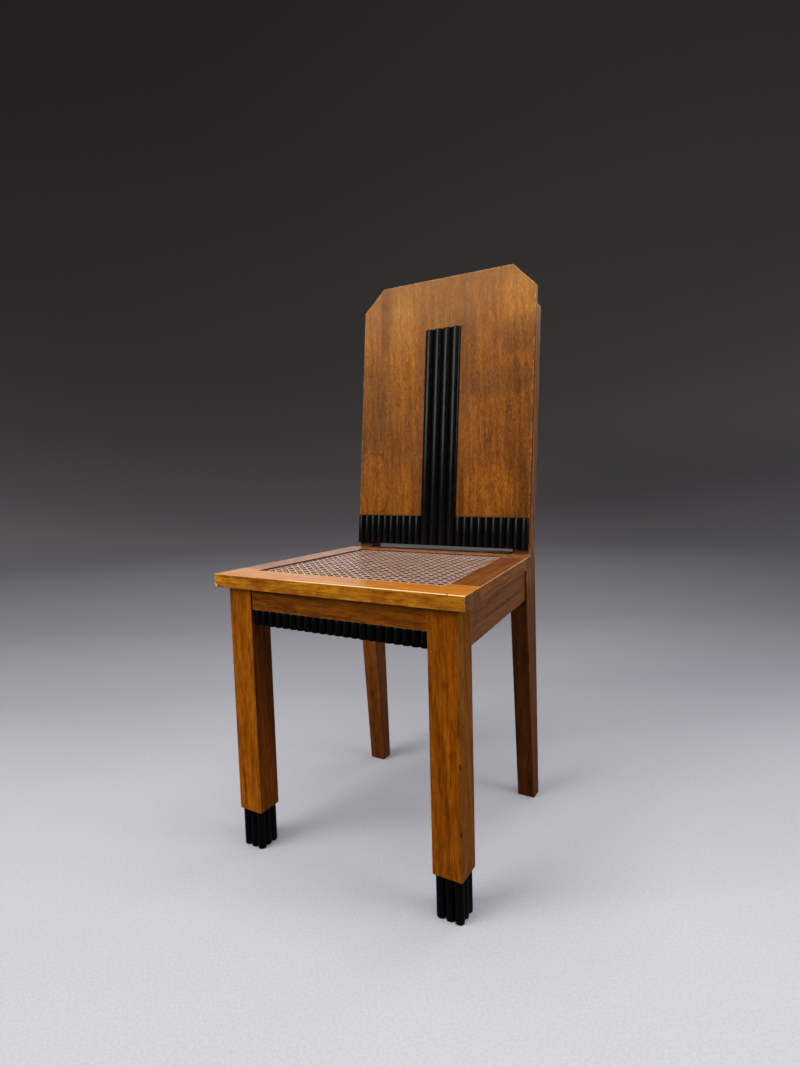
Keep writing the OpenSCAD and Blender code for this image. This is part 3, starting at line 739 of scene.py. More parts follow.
def round_edges(obj, radius, tight):
    """Rounds the sharp edges, less where tight(edge's middle) says so. The rounded faces get a
    material slot of their own, by which the next step tells them apart."""
    mesh = bmesh.new()
    mesh.from_mesh(obj.data)
    bmesh.ops.dissolve_limit(mesh, angle_limit=SAME_PLANE, verts=mesh.verts, edges=mesh.edges)
    weight = mesh.edges.layers.float.new("bevel_weight_edge")
    for edge in mesh.edges:
        if edge.is_manifold and edge.calc_face_angle(0) > SHARP:
            middle = (edge.verts[0].co + edge.verts[1].co) / 2
            edge[weight] = TIGHT_SHARE if tight and tight(middle) else 1.0
    mesh.to_mesh(obj.data)
    mesh.free()
    obj.data.materials.clear()
    for _ in (PLAIN_FACE, ROUNDED_FACE):
        obj.data.materials.append(None)
    for face in obj.data.polygons:
        face.material_index = PLAIN_FACE
    bevel = obj.modifiers.new("ease", "BEVEL")
    bevel.width, bevel.segments = radius, EASE_STEPS
    bevel.limit_method, bevel.material = "WEIGHT", ROUNDED_FACE
    settle(obj)


print("open edges are rounded in", EASE_STEPS, "steps, joints to", TIGHT_SHARE, "of their radius")

# %% Rims
RIM_W = 3 * MM
ROOM_SHARE = 0.75  # of the rim's width, which a broad face's area over its perimeter exceeds


def mark_rims(obj, tight):
    """Insets the broad faces, and marks each point as on the rim (1) or inside it (0)."""
    mesh = bmesh.new()
    mesh.from_mesh(obj.data)
    flat = [f for f in mesh.faces if f.material_index == PLAIN_FACE]
    broad = [f for f in flat if f.calc_area() / max(f.calc_perimeter(), 1e-9) > RIM_W * ROOM_SHARE
             and not (tight and tight(f.calc_center_median()))]
    bmesh.ops.inset_individual(mesh, faces=broad, thickness=RIM_W, use_even_offset=True)
    rim = mesh.verts.layers.float.new("rim")
    for vertex in mesh.verts:
        vertex[rim] = 1.0
    for face in broad:
        for vertex in face.verts:
            vertex[rim] = 0.0
    for face in mesh.faces:
        face.material_index = PLAIN_FACE
        face.smooth = True
    mesh.to_mesh(obj.data)
    mesh.free()
    light = obj.modifiers.new("even light on broad faces", "WEIGHTED_NORMAL")
    light.keep_sharp = True
    settle(obj)


print("rims are", RIM_W / MM, "mm wide")

# %% Finished boards
def finish_piece(obj, finish, node):
    """Gives a piece its finish, hides the node of the frame that it stands for, and hangs it under the root
    body.
    """
    obj.data.materials.clear()
    obj.data.materials.append(finish)
    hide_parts(node)
    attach(obj, "root")
    print(obj.name, len(obj.data.polygons), "faces")


def board(name, outline, low, high, place, finish, node, radius, tight=None, cutters=()):
    """One eased board that stands for one node of the frame."""
    obj = as_object(name, prism(outline, low, high, place))
    for cutter in cutters:
        cut_away(obj, cutter())
    round_edges(obj, radius, tight)
    mark_rims(obj, tight)
    finish_piece(obj, finish, node)


print("the packed model has", len(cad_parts), "nodes to stand for")

# %% [markdown]
# ## Legs
# The front legs are plain square posts with softly rounded edges. The rear legs are each cut from
# one wide board: they splay back below the seat, stand upright behind it, and then lean with the
# back. Just above the seat they are cut back, which leaves a gap under the panel that lies in shade
# and is darkened more with painted shade. They could be bent out of a straight post, but their
# corners are crisp, as a saw leaves them. So their outline is drawn from the side and raised to the
# leg's width.

# %% Front legs
LEG_EASE = 1.6 * MM
for _, hand in HANDS:
    low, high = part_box(f"front_leg_{hand}")
    board(f"{hand}_front_leg", rectangle(low.x, low.y, high.x, high.y), low.z, high.z, LYING,
          leg_wood, f"front_leg_{hand}", LEG_EASE)

# %% Rear legs
POST_FLOOR_D, POST_TOP_D, POST_SEAT_D = 27 * MM, 21 * MM, 46 * MM
POST_SPLAY, POST_RECESS, POST_EASE = 32 * MM, 5 * MM, 1.4 * MM
APRON_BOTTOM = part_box("front_apron")[0].z
post_low, post_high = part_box("rear_leg_right")


def on_lean(depth, along):
    """A point of the leaning back as depth and height in the chair."""
    return (BACK_FOOT.y + depth * cosine + along * sine, BACK_FOOT.z - depth * sine + along * cosine)


post_top = (post_high.z + PANEL_T * sine - BACK_FOOT.z) / cosine
post_side = [
    (SEAT_REAR + POST_SPLAY, 0), (SEAT_REAR, APRON_BOTTOM), (SEAT_REAR, SEAT_TOP),
    (on_lean(POST_RECESS, 0)[0], SEAT_TOP), on_lean(POST_RECESS, 0), on_lean(PANEL_T, 0),
    on_lean(PANEL_T, post_top), on_lean(PANEL_T + POST_TOP_D, post_top),
    (SEAT_REAR + POST_SEAT_D, SEAT_TOP), (SEAT_REAR + POST_SPLAY + POST_FLOOR_D, 0)]
for side, hand in HANDS:
    board(f"{hand}_rear_leg", post_side, post_low.x, post_high.x, mirrored(side) @ ON_SIDE,
          post_wood, f"rear_leg_{hand}", POST_EASE)

# %% [markdown]
# ## Aprons
# Four boards under the seat tie the legs together. The side aprons follow the seat's taper. The
# rear apron stands between the rear legs and rises just above the seat, where it closes all but a
# thin slit under the back. The front apron is the seat's plain face above the black reeding, and
# it is stepped back behind the reeds. They are boards as the legs are, so the same few lines make
# them.

# %% Front apron
APRON_EASE, REAR_APRON_EASE = 0.8 * MM, 1.0 * MM
low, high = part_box("front_apron")
reed_low, reed_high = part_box("apron_reeding")
apron_side = [
    (reed_high.y, low.z), (high.y, low.z), (high.y, high.z), (low.y, high.z), (low.y, reed_high.z),
    (reed_high.y, reed_high.z)]
board("front_apron_board", apron_side, reed_low.x, reed_high.x, ON_SIDE, apron_wood,
      "front_apron", APRON_EASE)

# %% Side and rear aprons
APRON_T = 20 * MM
BEHIND_LEG_FACE, BEHIND_POST_FACE = 0.4 * MM, 4 * MM
low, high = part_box("side_apron_right")
slope = (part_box("front_leg_right")[1].x - BEHIND_LEG_FACE) - (post_high.x - BEHIND_POST_FACE)
thick = APRON_T * math.hypot(1, slope / (high.y - low.y))
strip = [(high.x, low.y), (high.x - slope, high.y), (high.x - slope - thick, high.y),
         (high.x - thick, low.y)]
for side, hand in HANDS:
    board(f"{hand}_side_apron", strip, low.z, high.z, mirrored(side) @ LYING, side_apron_wood,
          f"side_apron_{hand}", APRON_EASE)

low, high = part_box("rear_apron")
board("rear_apron_board", rectangle(low.y, low.z, high.y, high.z), low.x, high.x, ON_SIDE,
      apron_wood, "rear_apron", REAR_APRON_EASE)

# %% [markdown]
# ## Seat frame
# The front and rear rails run right across and the side rails butt against them, so two fine joint
# lines show on the top. A ledge is routed round the opening for the cane, and a groove at its
# outer edge for the spline. The rails could be modelled with these steps in their outline, but
# the steps turn the corners, which is awkward at the joints. So the ledge and groove are cut out
# of plain boards with a boolean, as a router would cut them, before the edges are eased.

# %% Cutters for the ledge and the groove
LEDGE_DROP, LEDGE_W, GROOVE_W, GROOVE_DEPTH = 3.2 * MM, 9 * MM, 5 * MM, 5 * MM
LEDGE_Z, ABOVE_SEAT = SEAT_TOP - LEDGE_DROP, SEAT_TOP + LEDGE_DROP


def across_seat(front, rear, inward=0.0):
    """Four corners of a shape right across the tapering seat, between two depths."""
    half_front, half_rear = seat_half(front, inward), seat_half(rear, inward)
    return [(-half_front, front), (half_front, front), (half_rear, rear), (-half_rear, rear)]


def opening(inset):
    """The cane's opening in the frame, made smaller all round."""
    return across_seat(OPENING_FRONT + inset, OPENING_REAR - inset, SIDE_BORDER + inset)


def swept_round_opening(profile, smooth=False):
    """A mesh of a closed profile of insets and heights, swept round the opening."""
    mesh = bmesh.new()
    rings = [[mesh.verts.new((x, y, z)) for x, y in opening(inset)] for inset, z in profile]
    wrap(mesh, rings + rings[:1], smooth)
    bmesh.ops.recalc_face_normals(mesh, faces=mesh.faces)
    return mesh


def ledge_cutter():
    """All that is above the ledge, inside the opening."""
    return prism(opening(0), LEDGE_Z, ABOVE_SEAT, LYING)


def groove_cutter():
    """A ring as wide as the groove, from its bottom to above the seat."""
    bottom = LEDGE_Z - GROOVE_DEPTH
    return swept_round_opening([(0, bottom), (0, ABOVE_SEAT), (GROOVE_W, ABOVE_SEAT), (GROOVE_W, bottom)])


print("ledge", round(LEDGE_DROP / MM, 1), "mm down, groove", round(GROOVE_DEPTH / MM, 1), "mm deeper")

# %% Seat rails
FRONT_JOINT, REAR_JOINT = front_rail_high.y, rear_rail_low.y
JOINT_NEAR, RAIL_EASE = 2 * MM, 1.5 * MM
INNER_EDGE = SIDE_BORDER + LEDGE_W + GROOVE_W


def at_joint(middle):
    """True for edges that meet another board, or that lie inside the groove."""
    if min(abs(middle.y - FRONT_JOINT), abs(middle.y - REAR_JOINT)) < JOINT_NEAR:
        return True
    within_depth = OPENING_FRONT - JOINT_NEAR < middle.y < OPENING_REAR + JOINT_NEAR
    return within_depth and abs(middle.x) < seat_half(middle.y, SIDE_BORDER - JOINT_NEAR)


def rail(name, outline, place, finish, node):
    """A board of the seat frame, with its share of the ledge and the groove cut out."""
    board(name, outline, FRAME_BOTTOM, SEAT_TOP, place, finish, node, RAIL_EASE,
          at_joint, (ledge_cutter, groove_cutter))


side_rail = [(seat_half(FRONT_JOINT, INNER_EDGE), FRONT_JOINT), (seat_half(FRONT_JOINT), FRONT_JOINT),
             (seat_half(REAR_JOINT), REAR_JOINT), (seat_half(REAR_JOINT, INNER_EDGE), REAR_JOINT)]
rail("front_rail", across_seat(SEAT_FRONT, FRONT_JOINT), LYING, front_rail_wood, "seat_front_rail")
rail("rear_rail", across_seat(REAR_JOINT, SEAT_REAR), LYING, rear_wood, "seat_rear_rail")
for side, hand in HANDS:
    rail(f"{hand}_rail", side_rail, mirrored(side), side_wood, f"seat_side_rail_{hand}")

# %% [markdown]
# ## Back panel
# The back is one veneered board with its two upper corners cut off, and its grain stands upright.
# The veneer is the showiest wood of the chair: golden and greyed patches, fine flecks, and dark
# lines where two growths of the tree meet. An image of veneer would bring all that at once, but
# it would be somebody's own board. Here each patch is a soft oval with a place and a reach, in a
# short list that is easy to change.

# %% Figure of the veneer
PALER, GOLDEN, GREYED = (1.26, 1.22, 1.05), (1.50, 1.60, 1.05), (0.62, 0.64, 0.82)
DARK_LINE, ARCH_LINE = (0.36, 0.28, 0.28), (0.66, 0.56, 0.52)
PALE_FLECK, DARK_FLECK = (1.38, 1.50, 1.70), (0.58, 0.52, 0.48)
TOP_SHEEN, TOP_SHEEN_TONE = (1.32, 1.42, 2.0), "#d8a777"
# Each oval is its place across and in height, and how far it reaches across and in height.
GOLDEN_LOW = (-0.150, 0.598, 0.042, 0.062)
DARK_STREAK, ARCHES = (0.047, 0.575, 0.006, 0.050), (0.112, 0.560, 0.062, 0.170)
PALER_OVALS = ((0.118, 0.790, 0.070, 0.190), (-0.168, 0.850, 0.034, 0.130))
GOLDEN_OVALS = (GOLDEN_LOW, (-0.085, 0.570, 0.026, 0.060), (0.152, 0.930, 0.034, 0.060),
                (0.100, 0.580, 0.060, 0.050), (-0.095, 0.850, 0.034, 0.130))
GREYED_OVALS = ((-0.128, 0.940, 0.013, 0.080), (0.150, 0.868, 0.040, 0.032),
                (0.120, 0.785, 0.070, 0.026), (-0.150, 0.760, 0.050, 0.090),
                (0.045, 0.840, 0.030, 0.100))
EYES = ((0.120, 0.748, 0.062, 0.017), (0.130, 0.742, 0.080, 0.040))


def oval(across, height, half_across, half_height):
    """The centre and the reach of an oval on the panel, at any depth."""
    return (across, 0, height), (half_across, None, half_height)


print(len(PALER_OVALS + GOLDEN_OVALS + GREYED_OVALS), "patches in the veneer")

# %% Flecks, patches and lines
def flecked(tree, spot, height, colour):
    """The panel is painted paler and bluer towards its top, a painted sheen, and short flecks lie all over
    it.
    """
    # Painted sheen towards the top.
    colour = tinted(tree, colour, fade(tree, height, 0.60, 0.98), TOP_SHEEN)
    short = put(tree, "Mapping", {"Vector": spot, "Scale": (1, 1, 0.18)}).outputs["Vector"]
    flecks = noise(tree, short, 700.0, detail=3.0, roughness=0.6)
    colour = tinted(tree, colour, fade(tree, flecks, 0.53, 0.65), PALE_FLECK)
    return tinted(tree, colour, fade(tree, flecks, 0.46, 0.35), DARK_FLECK)


def dark_lines(tree, spot, lay, colour):
    """Lines round the lowest golden patch and the two eyes, a streak, and a row of arches."""
    colour = tinted(tree, colour, edge_line(tree, spot, lay, *oval(*GOLDEN_LOW)), DARK_LINE)
    for eye in EYES:
        line = edge_line(tree, spot, lay, *oval(*eye), width=0.06, ragged=1.0)
        colour = tinted(tree, colour, line, DARK_LINE, 0.32)
    colour = tinted(tree, colour, patch(tree, spot, lay, *oval(*DARK_STREAK)), DARK_LINE, 0.7)
    arches = frayed_distance(tree, spot, lay, *oval(*ARCHES), ragged=0.8)
    rings = work_out(tree, "SINE", times(tree, arches, 26.0))
    lines = times(tree, fade(tree, rings, 0.3, 1.0), fade(tree, arches, 1.1, 0.7))
    return tinted(tree, colour, lines, ARCH_LINE, 0.45)


def panel_figure(tree, spot, lay, colour):
    """The whole figure of the veneer."""
    spot = spot["Object"]
    height = parts_of(tree, spot)["Z"]
    colour = flecked(tree, spot, height, colour)
    for place in PALER_OVALS:
        colour = tinted(tree, colour, patch(tree, spot, lay, *oval(*place), ragged=0.5, soft=0.9), PALER)
    # Painted sheen: the top of the panel is mixed towards a pale tone.
    colour = mix(tree, fade(tree, height, 0.80, 1.0, 0.0, 0.2), colour, linear(TOP_SHEEN_TONE))
    for places, tint, strength in ((GOLDEN_OVALS, GOLDEN, 0.85), (GREYED_OVALS, GREYED, 0.7)):
        for place in places:
            there = patch(tree, spot, lay, *oval(*place), ragged=0.7)
            colour = tinted(tree, colour, there, tint, strength)
    return dark_lines(tree, spot, lay, colour)


print("lines round one golden patch and", len(EYES), "eyes")

# %% Back panel
CORNER_CUT, PANEL_EASE = 44 * MM, 0.9 * MM
half = panel_high.x
panel_outline = [(-half, 0), (half, 0), (half, PANEL_L - CORNER_CUT), (half - CORNER_CUT, PANEL_L),
                 (-half + CORNER_CUT, PANEL_L), (-half, PANEL_L - CORNER_CUT)]
panel_veneer = varnished_wood("panel_veneer", ALONG_Z, "#763e07", turn=(RAKE, 0, 0),
                              shift=(0.15, 0.4, 0.25), arris=0.2, shine=0.22, contrast=0.105,
                              streaky=0.12, gritty=0.30, marks=panel_figure)
board("panel", panel_outline, 0, PANEL_T, ON_BACK, panel_veneer, "back_panel",
      PANEL_EASE)

# %% [markdown]
# ## Black reeding
# Rows of half-round reeds, stained black, are glued to the back and under the front apron. Each
# reed could be a half cylinder, but a row of those has hidden walls inside. A row here is one
# closed mesh: arcs side by side for its front, and a flat back. At both ends the arcs shrink a
# little over the last millimetre, so that the reeds end softly, as sanded wood does. The black
# stain is a little uneven along the grain and shows a few pale specks.

# %% Ebonised finish
def ebonised_finish():
    """Wood stained black, with fibres that run upwards."""
    made, tree, shader = new_finish("ebonised_wood")
    spot = put(tree, "TexCoord", {}).outputs["Object"]
    fibre = noise(tree, laid_along(tree, spot, ALONG_Z, MEDIUM), 420.0, roughness=0.6)
    colour = ramp(tree, fibre, [(0.35, "#030304"), (0.65, "#09090b")])
    specks = fade(tree, noise(tree, spot, 900.0, detail=2.0, roughness=0.5), 0.72, 0.78)
    colour = mix(tree, times(tree, specks, 0.4), colour, linear("#58585c"))
    tree.links.new(colour, shader.inputs["Base Color"])
    tree.links.new(fade(tree, fibre, 0.3, 0.7, 0.22, 0.34), shader.inputs["Roughness"])
    shader.inputs["Specular IOR Level"].default_value = 0.19
    raise_surface(tree, shader, fibre, 0.18, 0.3 * MM)
    return made


ebonised_wood = ebonised_finish()
print("made", ebonised_wood.name)

# %% Outline of a row of reeds
ARC_STEPS = 10
BACKING_T, END_EASE = 1.6 * MM, 1.2 * MM
END_TURNS = [math.pi / 2 * i / 3 for i in range(4)]


def reed_front(count, width, rise, shrink):
    """Points across a row: its arcs, pulled back by shrink."""
    radius = (width * width / 4 + rise * rise) / 2 / rise
    points = []
    for reed in range(count):
        for step in range(ARC_STEPS + (reed == count - 1)):
            across = width * (step / ARC_STEPS - 0.5)
            out = math.sqrt(max(radius * radius - across * across, 0)) - radius + rise
            points.append(((reed + 0.5) * width + across, -BACKING_T - max(out - shrink, 0)))
    return points


def reed_levels(length):
    """Heights along a row, and how far its arcs are pulled back there."""
    levels = [(END_EASE * (1 - math.cos(a)), END_EASE * (1 - math.sin(a))) for a in END_TURNS]
    return levels + [(length - height, shrink) for height, shrink in levels[::-1]]


print("a row changes its outline at", len(reed_levels(1.0)), "heights")

# %% Mesh of a row of reeds
REED_CREASE = math.radians(50)


def reed_mesh(count, start, width, rise, length, place):
    """One closed mesh: the arcs, the flat back, both sides and both ends."""
    mesh = bmesh.new()
    rings = []
    for height, shrink in reed_levels(length):
        row = reed_front(count, width, rise, shrink)
        front = [mesh.verts.new(place @ Vector((start + x, height, depth))) for x, depth in row]
        back = [mesh.verts.new(place @ Vector((start + x, height, 0))) for x, _ in row]
        rings.append((front, back))
    last = len(rings[0][0]) - 1
    for (front, back), (front_above, back_above) in zip(rings, rings[1:]):
        for i in range(last):
            mesh.faces.new((front[i], front[i + 1], front_above[i + 1], front_above[i]))
            mesh.faces.new((back[i + 1], back[i], back_above[i], back_above[i + 1]))
        mesh.faces.new((front[0], front_above[0], back_above[0], back[0]))
        mesh.faces.new((front[last], back[last], back_above[last], front_above[last]))
    for front, back in (rings[0], rings[-1]):
        for i in range(last):
            mesh.faces.new((front[i], back[i], back[i + 1], front[i + 1]))
    return mesh


def smooth_piece(name, mesh, crease, finish, node):
    """A rounded piece whose only hard edges are those sharper than the crease."""
    bmesh.ops.recalc_face_normals(mesh, faces=mesh.faces)
    for face in mesh.faces:
        face.smooth = True
    obj = as_object(name, mesh)
    obj.data.set_sharp_from_angle(angle=crease)
    finish_piece(obj, finish, node)


def reed_row(name, count, start, width, rise, length, place, node):
    """A row of reeds that stands for one node of the frame."""
    mesh = reed_mesh(count, start, width / count, rise, length, place)
    smooth_piece(name, mesh, REED_CREASE, ebonised_wood, node)
    print(count, "reeds of", round(width / count / MM, 1), "mm")


print("reeds keep creases sharper than", round(math.degrees(REED_CREASE)), "degrees")

# %% Reeds on the back
CENTRE_REEDS, CENTRE_RISE = 4, 5.6 * MM
BAND_REEDS, BAND_RISE, BAND_L = 10, 4.8 * MM, 57.5 * MM
low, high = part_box("back_reeding_centre")
reed_row("centre_reeds", CENTRE_REEDS, (low.x - high.x) / 2, high.x - low.x, CENTRE_RISE,
         (high.z - BACK_FOOT.z) / cosine, ON_BACK, "back_reeding_centre")
low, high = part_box("back_reeding_right")
for start, hand in ((-high.x, "left"), (low.x, "right")):
    reed_row(f"{hand}_band_reeds", BAND_REEDS, start, high.x - low.x, BAND_RISE, BAND_L, ON_BACK,
             f"back_reeding_{hand}")

# %% Reeds under the apron
APRON_REEDS, APRON_RISE = 22, 6.2 * MM
UNDER_APRON = Matrix(((1, 0, 0, 0), (0, 0, 1, reed_high.y), (0, 1, 0, reed_low.z), (0, 0, 0, 1)))
reed_row("apron_reeds", APRON_REEDS, reed_low.x, reed_high.x - reed_low.x, APRON_RISE,
         reed_high.z - reed_low.z, UNDER_APRON, "apron_reeding")

# %% [markdown]
# ## Lobed feet
# A black foot ends each front leg. Its outline is a square of round lobes, three to a side, and
# its lower edge is rounded over. Eight upright cylinders would look alike, but they would cut
# into each other. So the outline is walked once round, arc by arc: a corner lobe shows three
# quarters of its circle, and a lobe between two corners half of it.

# %% Lobed feet
LOBES, LOBE_STEPS = 3, 12
FOOT_EASE, FOOT_EASE_STEPS = 2.6 * MM, 4
FOOT_CREASE = math.radians(40)
WELD = 0.02 * MM


def foot_ring(low, high, shrink):
    """The foot's outline: lobes round a square, each an arc about its own centre."""
    radius = Vector(((high.x - low.x) / LOBES / 2, (high.y - low.y) / LOBES / 2))
    points = []
    for side in range(4):
        for lobe in range(LOBES - 1):
            share = lobe / (LOBES - 1)
            corner = ((share, 0), (1, share), (1 - share, 1), (0, 1 - share))[side]
            centre = Vector((low.x + radius.x + corner[0] * (high.x - low.x - 2 * radius.x),
                             low.y + radius.y + corner[1] * (high.y - low.y - 2 * radius.y)))
            sweep = math.pi if lobe else 1.5 * math.pi
            first = side * math.pi / 2 - sweep
            steps = int(LOBE_STEPS * sweep / math.pi)
            for step in range(steps + 1):
                angle = first + sweep * step / steps
                points.append((centre.x + (radius.x - shrink) * math.cos(angle),
                               centre.y + (radius.y - shrink) * math.sin(angle)))
    return points


def lobed_foot(name, node):
    """A foot that stands for one node of the frame."""
    low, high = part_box(node)
    mesh = bmesh.new()
    turns = [math.pi / 2 * i / FOOT_EASE_STEPS for i in range(FOOT_EASE_STEPS + 1)]
    levels = [(FOOT_EASE * (1 - math.cos(a)), FOOT_EASE * (1 - math.sin(a))) for a in turns]
    levels.append((high.z, 0))
    rings = [[mesh.verts.new((x, y, z)) for x, y in foot_ring(low, high, shrink)] for z, shrink in levels]
    wrap(mesh, rings)
    mesh.faces.new(rings[0][::-1])
    mesh.faces.new(rings[-1])
    bmesh.ops.remove_doubles(mesh, verts=mesh.verts, dist=WELD)
    smooth_piece(name, mesh, FOOT_CREASE, ebonised_wood, node)


for _, hand in HANDS:
    lobed_foot(f"{hand}_foot", f"front_foot_{hand}")

# %% [markdown]
# ## Woven cane
# The seat is a sheet of cane: pairs of strands run both ways and interlace, and single strands
# cross them on both diagonals, which leaves eight-sided holes. A flat sheet with a pattern of
# holes would do from afar, but up close the strands cast small shadows on each other. So each
# strand is a thin domed ribbon. The diagonals are cut broader and catch more light, and their
# paler tones are a painted highlight, so they are the bright lines of the seat. The pairs take
# darker tones as painted shade, and every strand is darkened along its edges as painted shade.

# %% Cane finish
PAIR_W, DIAGONAL_W = 1.6 * MM, 1.9 * MM
CROWN_PLACE = 0.4  # the crown's place across a strand, in its UV map
FIBRE_SHARE, CLOUD_SHARE, TONE_SHARE = 0.25, 0.2, 0.55


def cane_finish(name, colours, edge_shade=1.0):
    """Peeled cane: pale and glossy on its crown, darkened along its edges as painted shade, and a little
    different in each strand."""
    made, tree, shader = new_finish(name)
    spot = put(tree, "TexCoord", {}).outputs
    tone = put(tree, "Attribute", {}, attribute_name="tone").outputs["Fac"]
    lay = put(tree, "Mapping", {"Vector": spot["UV"], "Scale": (1, 0.04, 1)}).outputs["Vector"]
    fibre = noise(tree, lay, 60.0, detail=3.0, roughness=0.6)
    clouds = noise(tree, spot["Object"], 22.0, detail=3.0)
    value = plus(tree, times(tree, fibre, FIBRE_SHARE), times(tree, clouds, CLOUD_SHARE))
    value = plus(tree, value, times(tree, tone, TONE_SHARE))
    colour = ramp(tree, value, list(zip((0.3, 0.5, 0.75), colours)))

    # Painted shade: each strand is darkened away from its crown, along its edges.
    across = parts_of(tree, spot["UV"])["Y"]
    off_crown = work_out(tree, "ABSOLUTE", work_out(tree, "SUBTRACT", across, CROWN_PLACE))
    colour = tinted(tree, colour, fade(tree, off_crown, 0.22, 0.36), (0.12, 0.07, 0.06), edge_shade)
    # The strands are yellower at the front left.
    yellower_place = distance_from(tree, spot["Object"], (-0.10, -0.165, 0), (0.12, 0.05, None))
    colour = tinted(tree, colour, fade(tree, yellower_place, 1.2, 0.3), (1.12, 1.08, 0.72))
    tree.links.new(colour, shader.inputs["Base Color"])
    tree.links.new(fade(tree, fibre, 0.3, 0.7, 0.26, 0.40), shader.inputs["Roughness"])
    shader.inputs["Coat Weight"].default_value = 0.5
    shader.inputs["Coat Roughness"].default_value = 0.2
    raise_surface(tree, shader, fibre, 0.2, 0.2 * MM)
    return made


# The near-white end of the ramp carries the diagonals' painted highlight.
cane_strand = cane_finish("cane_strand", ("#8a4f3e", "#e0a088", "#ffecda"))
# The spline's dark brown is painted shade, so that it merges with the shaded inner edge of the seat.
cane_spline_finish = cane_finish("cane_spline", ("#3f2212", "#5f3723", "#84563e"), edge_shade=0.0)
print("cane finishes:", cane_strand.name, cane_spline_finish.name)

# %% [markdown]
# ## How the strands interlace
# A strand dips under what it passes below and climbs over what it passes above. A real weaver
# does that one crossing at a time, and a physics simulation could too. But the pattern repeats
# exactly, so the height of a strand is a simple wave of its place in the pattern, in step with
# the strands that it crosses.

# %% Pattern of the weave
PITCH = 14.7 * MM
PAIR = 1.0 * MM  # each strand of a pair lies this far from their shared line
PAIR_SWING, DIAGONAL_SWING = 0.07 * MM, 0.19 * MM
DIAGONAL = math.sqrt(0.5)


def pair_height(place, which):
    """Height of a strand of a pair where it crosses the other pairs: down at one, up at the next."""
    share = place / PITCH - round(place / PITCH)
    near = PAIR / PITCH
    if abs(share) <= near:
        lift = math.sin(share / near * math.pi / 2)
    else:
        lift = math.copysign(math.cos((abs(share) - near) / (0.5 - near) * math.pi / 2), share)
    return which * lift * PAIR_SWING


def diagonal_height(at, start_x, which):
    """Height of a diagonal strand: over the pairs that run one way and under the others."""
    return -which * DIAGONAL_SWING * math.cos(2 * math.pi * (start_x + which * at * DIAGONAL) / PITCH)


print("holes", round(PITCH / MM, 1), "mm apart")

# %% Where a strand starts and ends
SPLINE_W = 2.6 * MM
SHORTEST = PITCH / 4
PARALLEL = 1e-12  # a line that nears an edge more slowly than this runs along it
cane_outline = opening(SPLINE_W)


def reach_inside(point, direction, outline):
    """Where a line enters and leaves a convex outline drawn anticlockwise, as distances."""
    enter, leave = -math.inf, math.inf
    for (ax, ay), (bx, by) in zip(outline, outline[1:] + outline[:1]):
        normal = Vector((-(by - ay), bx - ax))
        gap = normal.dot(point - Vector((ax, ay)))
        speed = normal.dot(direction)
        if abs(speed) < PARALLEL:
            if gap < 0:
                return None
        elif speed > 0:
            enter = max(enter, -gap / speed)
        else:
            leave = min(leave, -gap / speed)
    return (enter, leave) if leave - enter > SHORTEST else None


print("cane from", round(cane_outline[0][1], 4), "to", round(cane_outline[2][1], 4), "in depth")

# %% A strand
WEAVE_Z, STRAND_T = LEDGE_Z + 0.9 * MM, 0.12 * MM
STRAND_PROFILE = ((-0.5, 0), (-0.30, 0.8), (0, 1), (0.30, 0.8), (0.5, 0))
STRAND_STEP = PITCH / 8
TONE_STEP = 0.618034  # spreads the tones of the strands evenly, in no order that shows


class Weave:
    """Collects ribbons into one mesh."""

    def __init__(self):
        self.mesh = bmesh.new()
        self.tone = self.mesh.verts.layers.float.new("tone")
        self.uv = self.mesh.loops.layers.uv.new("UVMap")
        self.count = 0

    def ring(self, centre, side, width, height, tone):
        """The points across a strand at one place along it."""
        points = []
        for across, crown in STRAND_PROFILE:
            flat = centre + side * across * width
            point = self.mesh.verts.new((flat.x, flat.y, WEAVE_Z + height + crown * STRAND_T))
            point[self.tone] = tone
            points.append(point)
        return points

    def strand(self, start, direction, height, width, tones):
        """One ribbon right across the seat, its height a function of the distance from start."""
        reach = reach_inside(start, direction, cane_outline)
        if not reach:
            return
        enter, leave = reach
        steps = max(2, round((leave - enter) / STRAND_STEP))
        self.count += 1
        tone = tones[0] + (tones[1] - tones[0]) * ((self.count * TONE_STEP) % 1.0)
        side = Vector((-direction.y, direction.x))
        places = [enter + (leave - enter) * step / steps for step in range(steps + 1)]
        rings = [self.ring(start + direction * at, side, width, height(at), tone) for at in places]
        for at, ring, at_next, following in zip(places, rings, places[1:], rings[1:]):
            for i in range(len(ring)):
                j = (i + 1) % len(ring)
                face = self.mesh.faces.new((ring[i], ring[j], following[j], following[i]))
                face.smooth = True
                for loop, (u, v) in zip(face.loops, ((at, i), (at, i + 1), (at_next, i + 1), (at_next, i))):
                    loop[self.uv].uv = (u, v / len(ring))
        self.mesh.faces.new(rings[0][::-1])
        self.mesh.faces.new(rings[-1])


print("strands take a point every", round(STRAND_STEP / MM, 2), "mm")

# %% Woven sheet
PAIR_LINES, DIAGONAL_LINES = range(-14, 15), range(-28, 29)
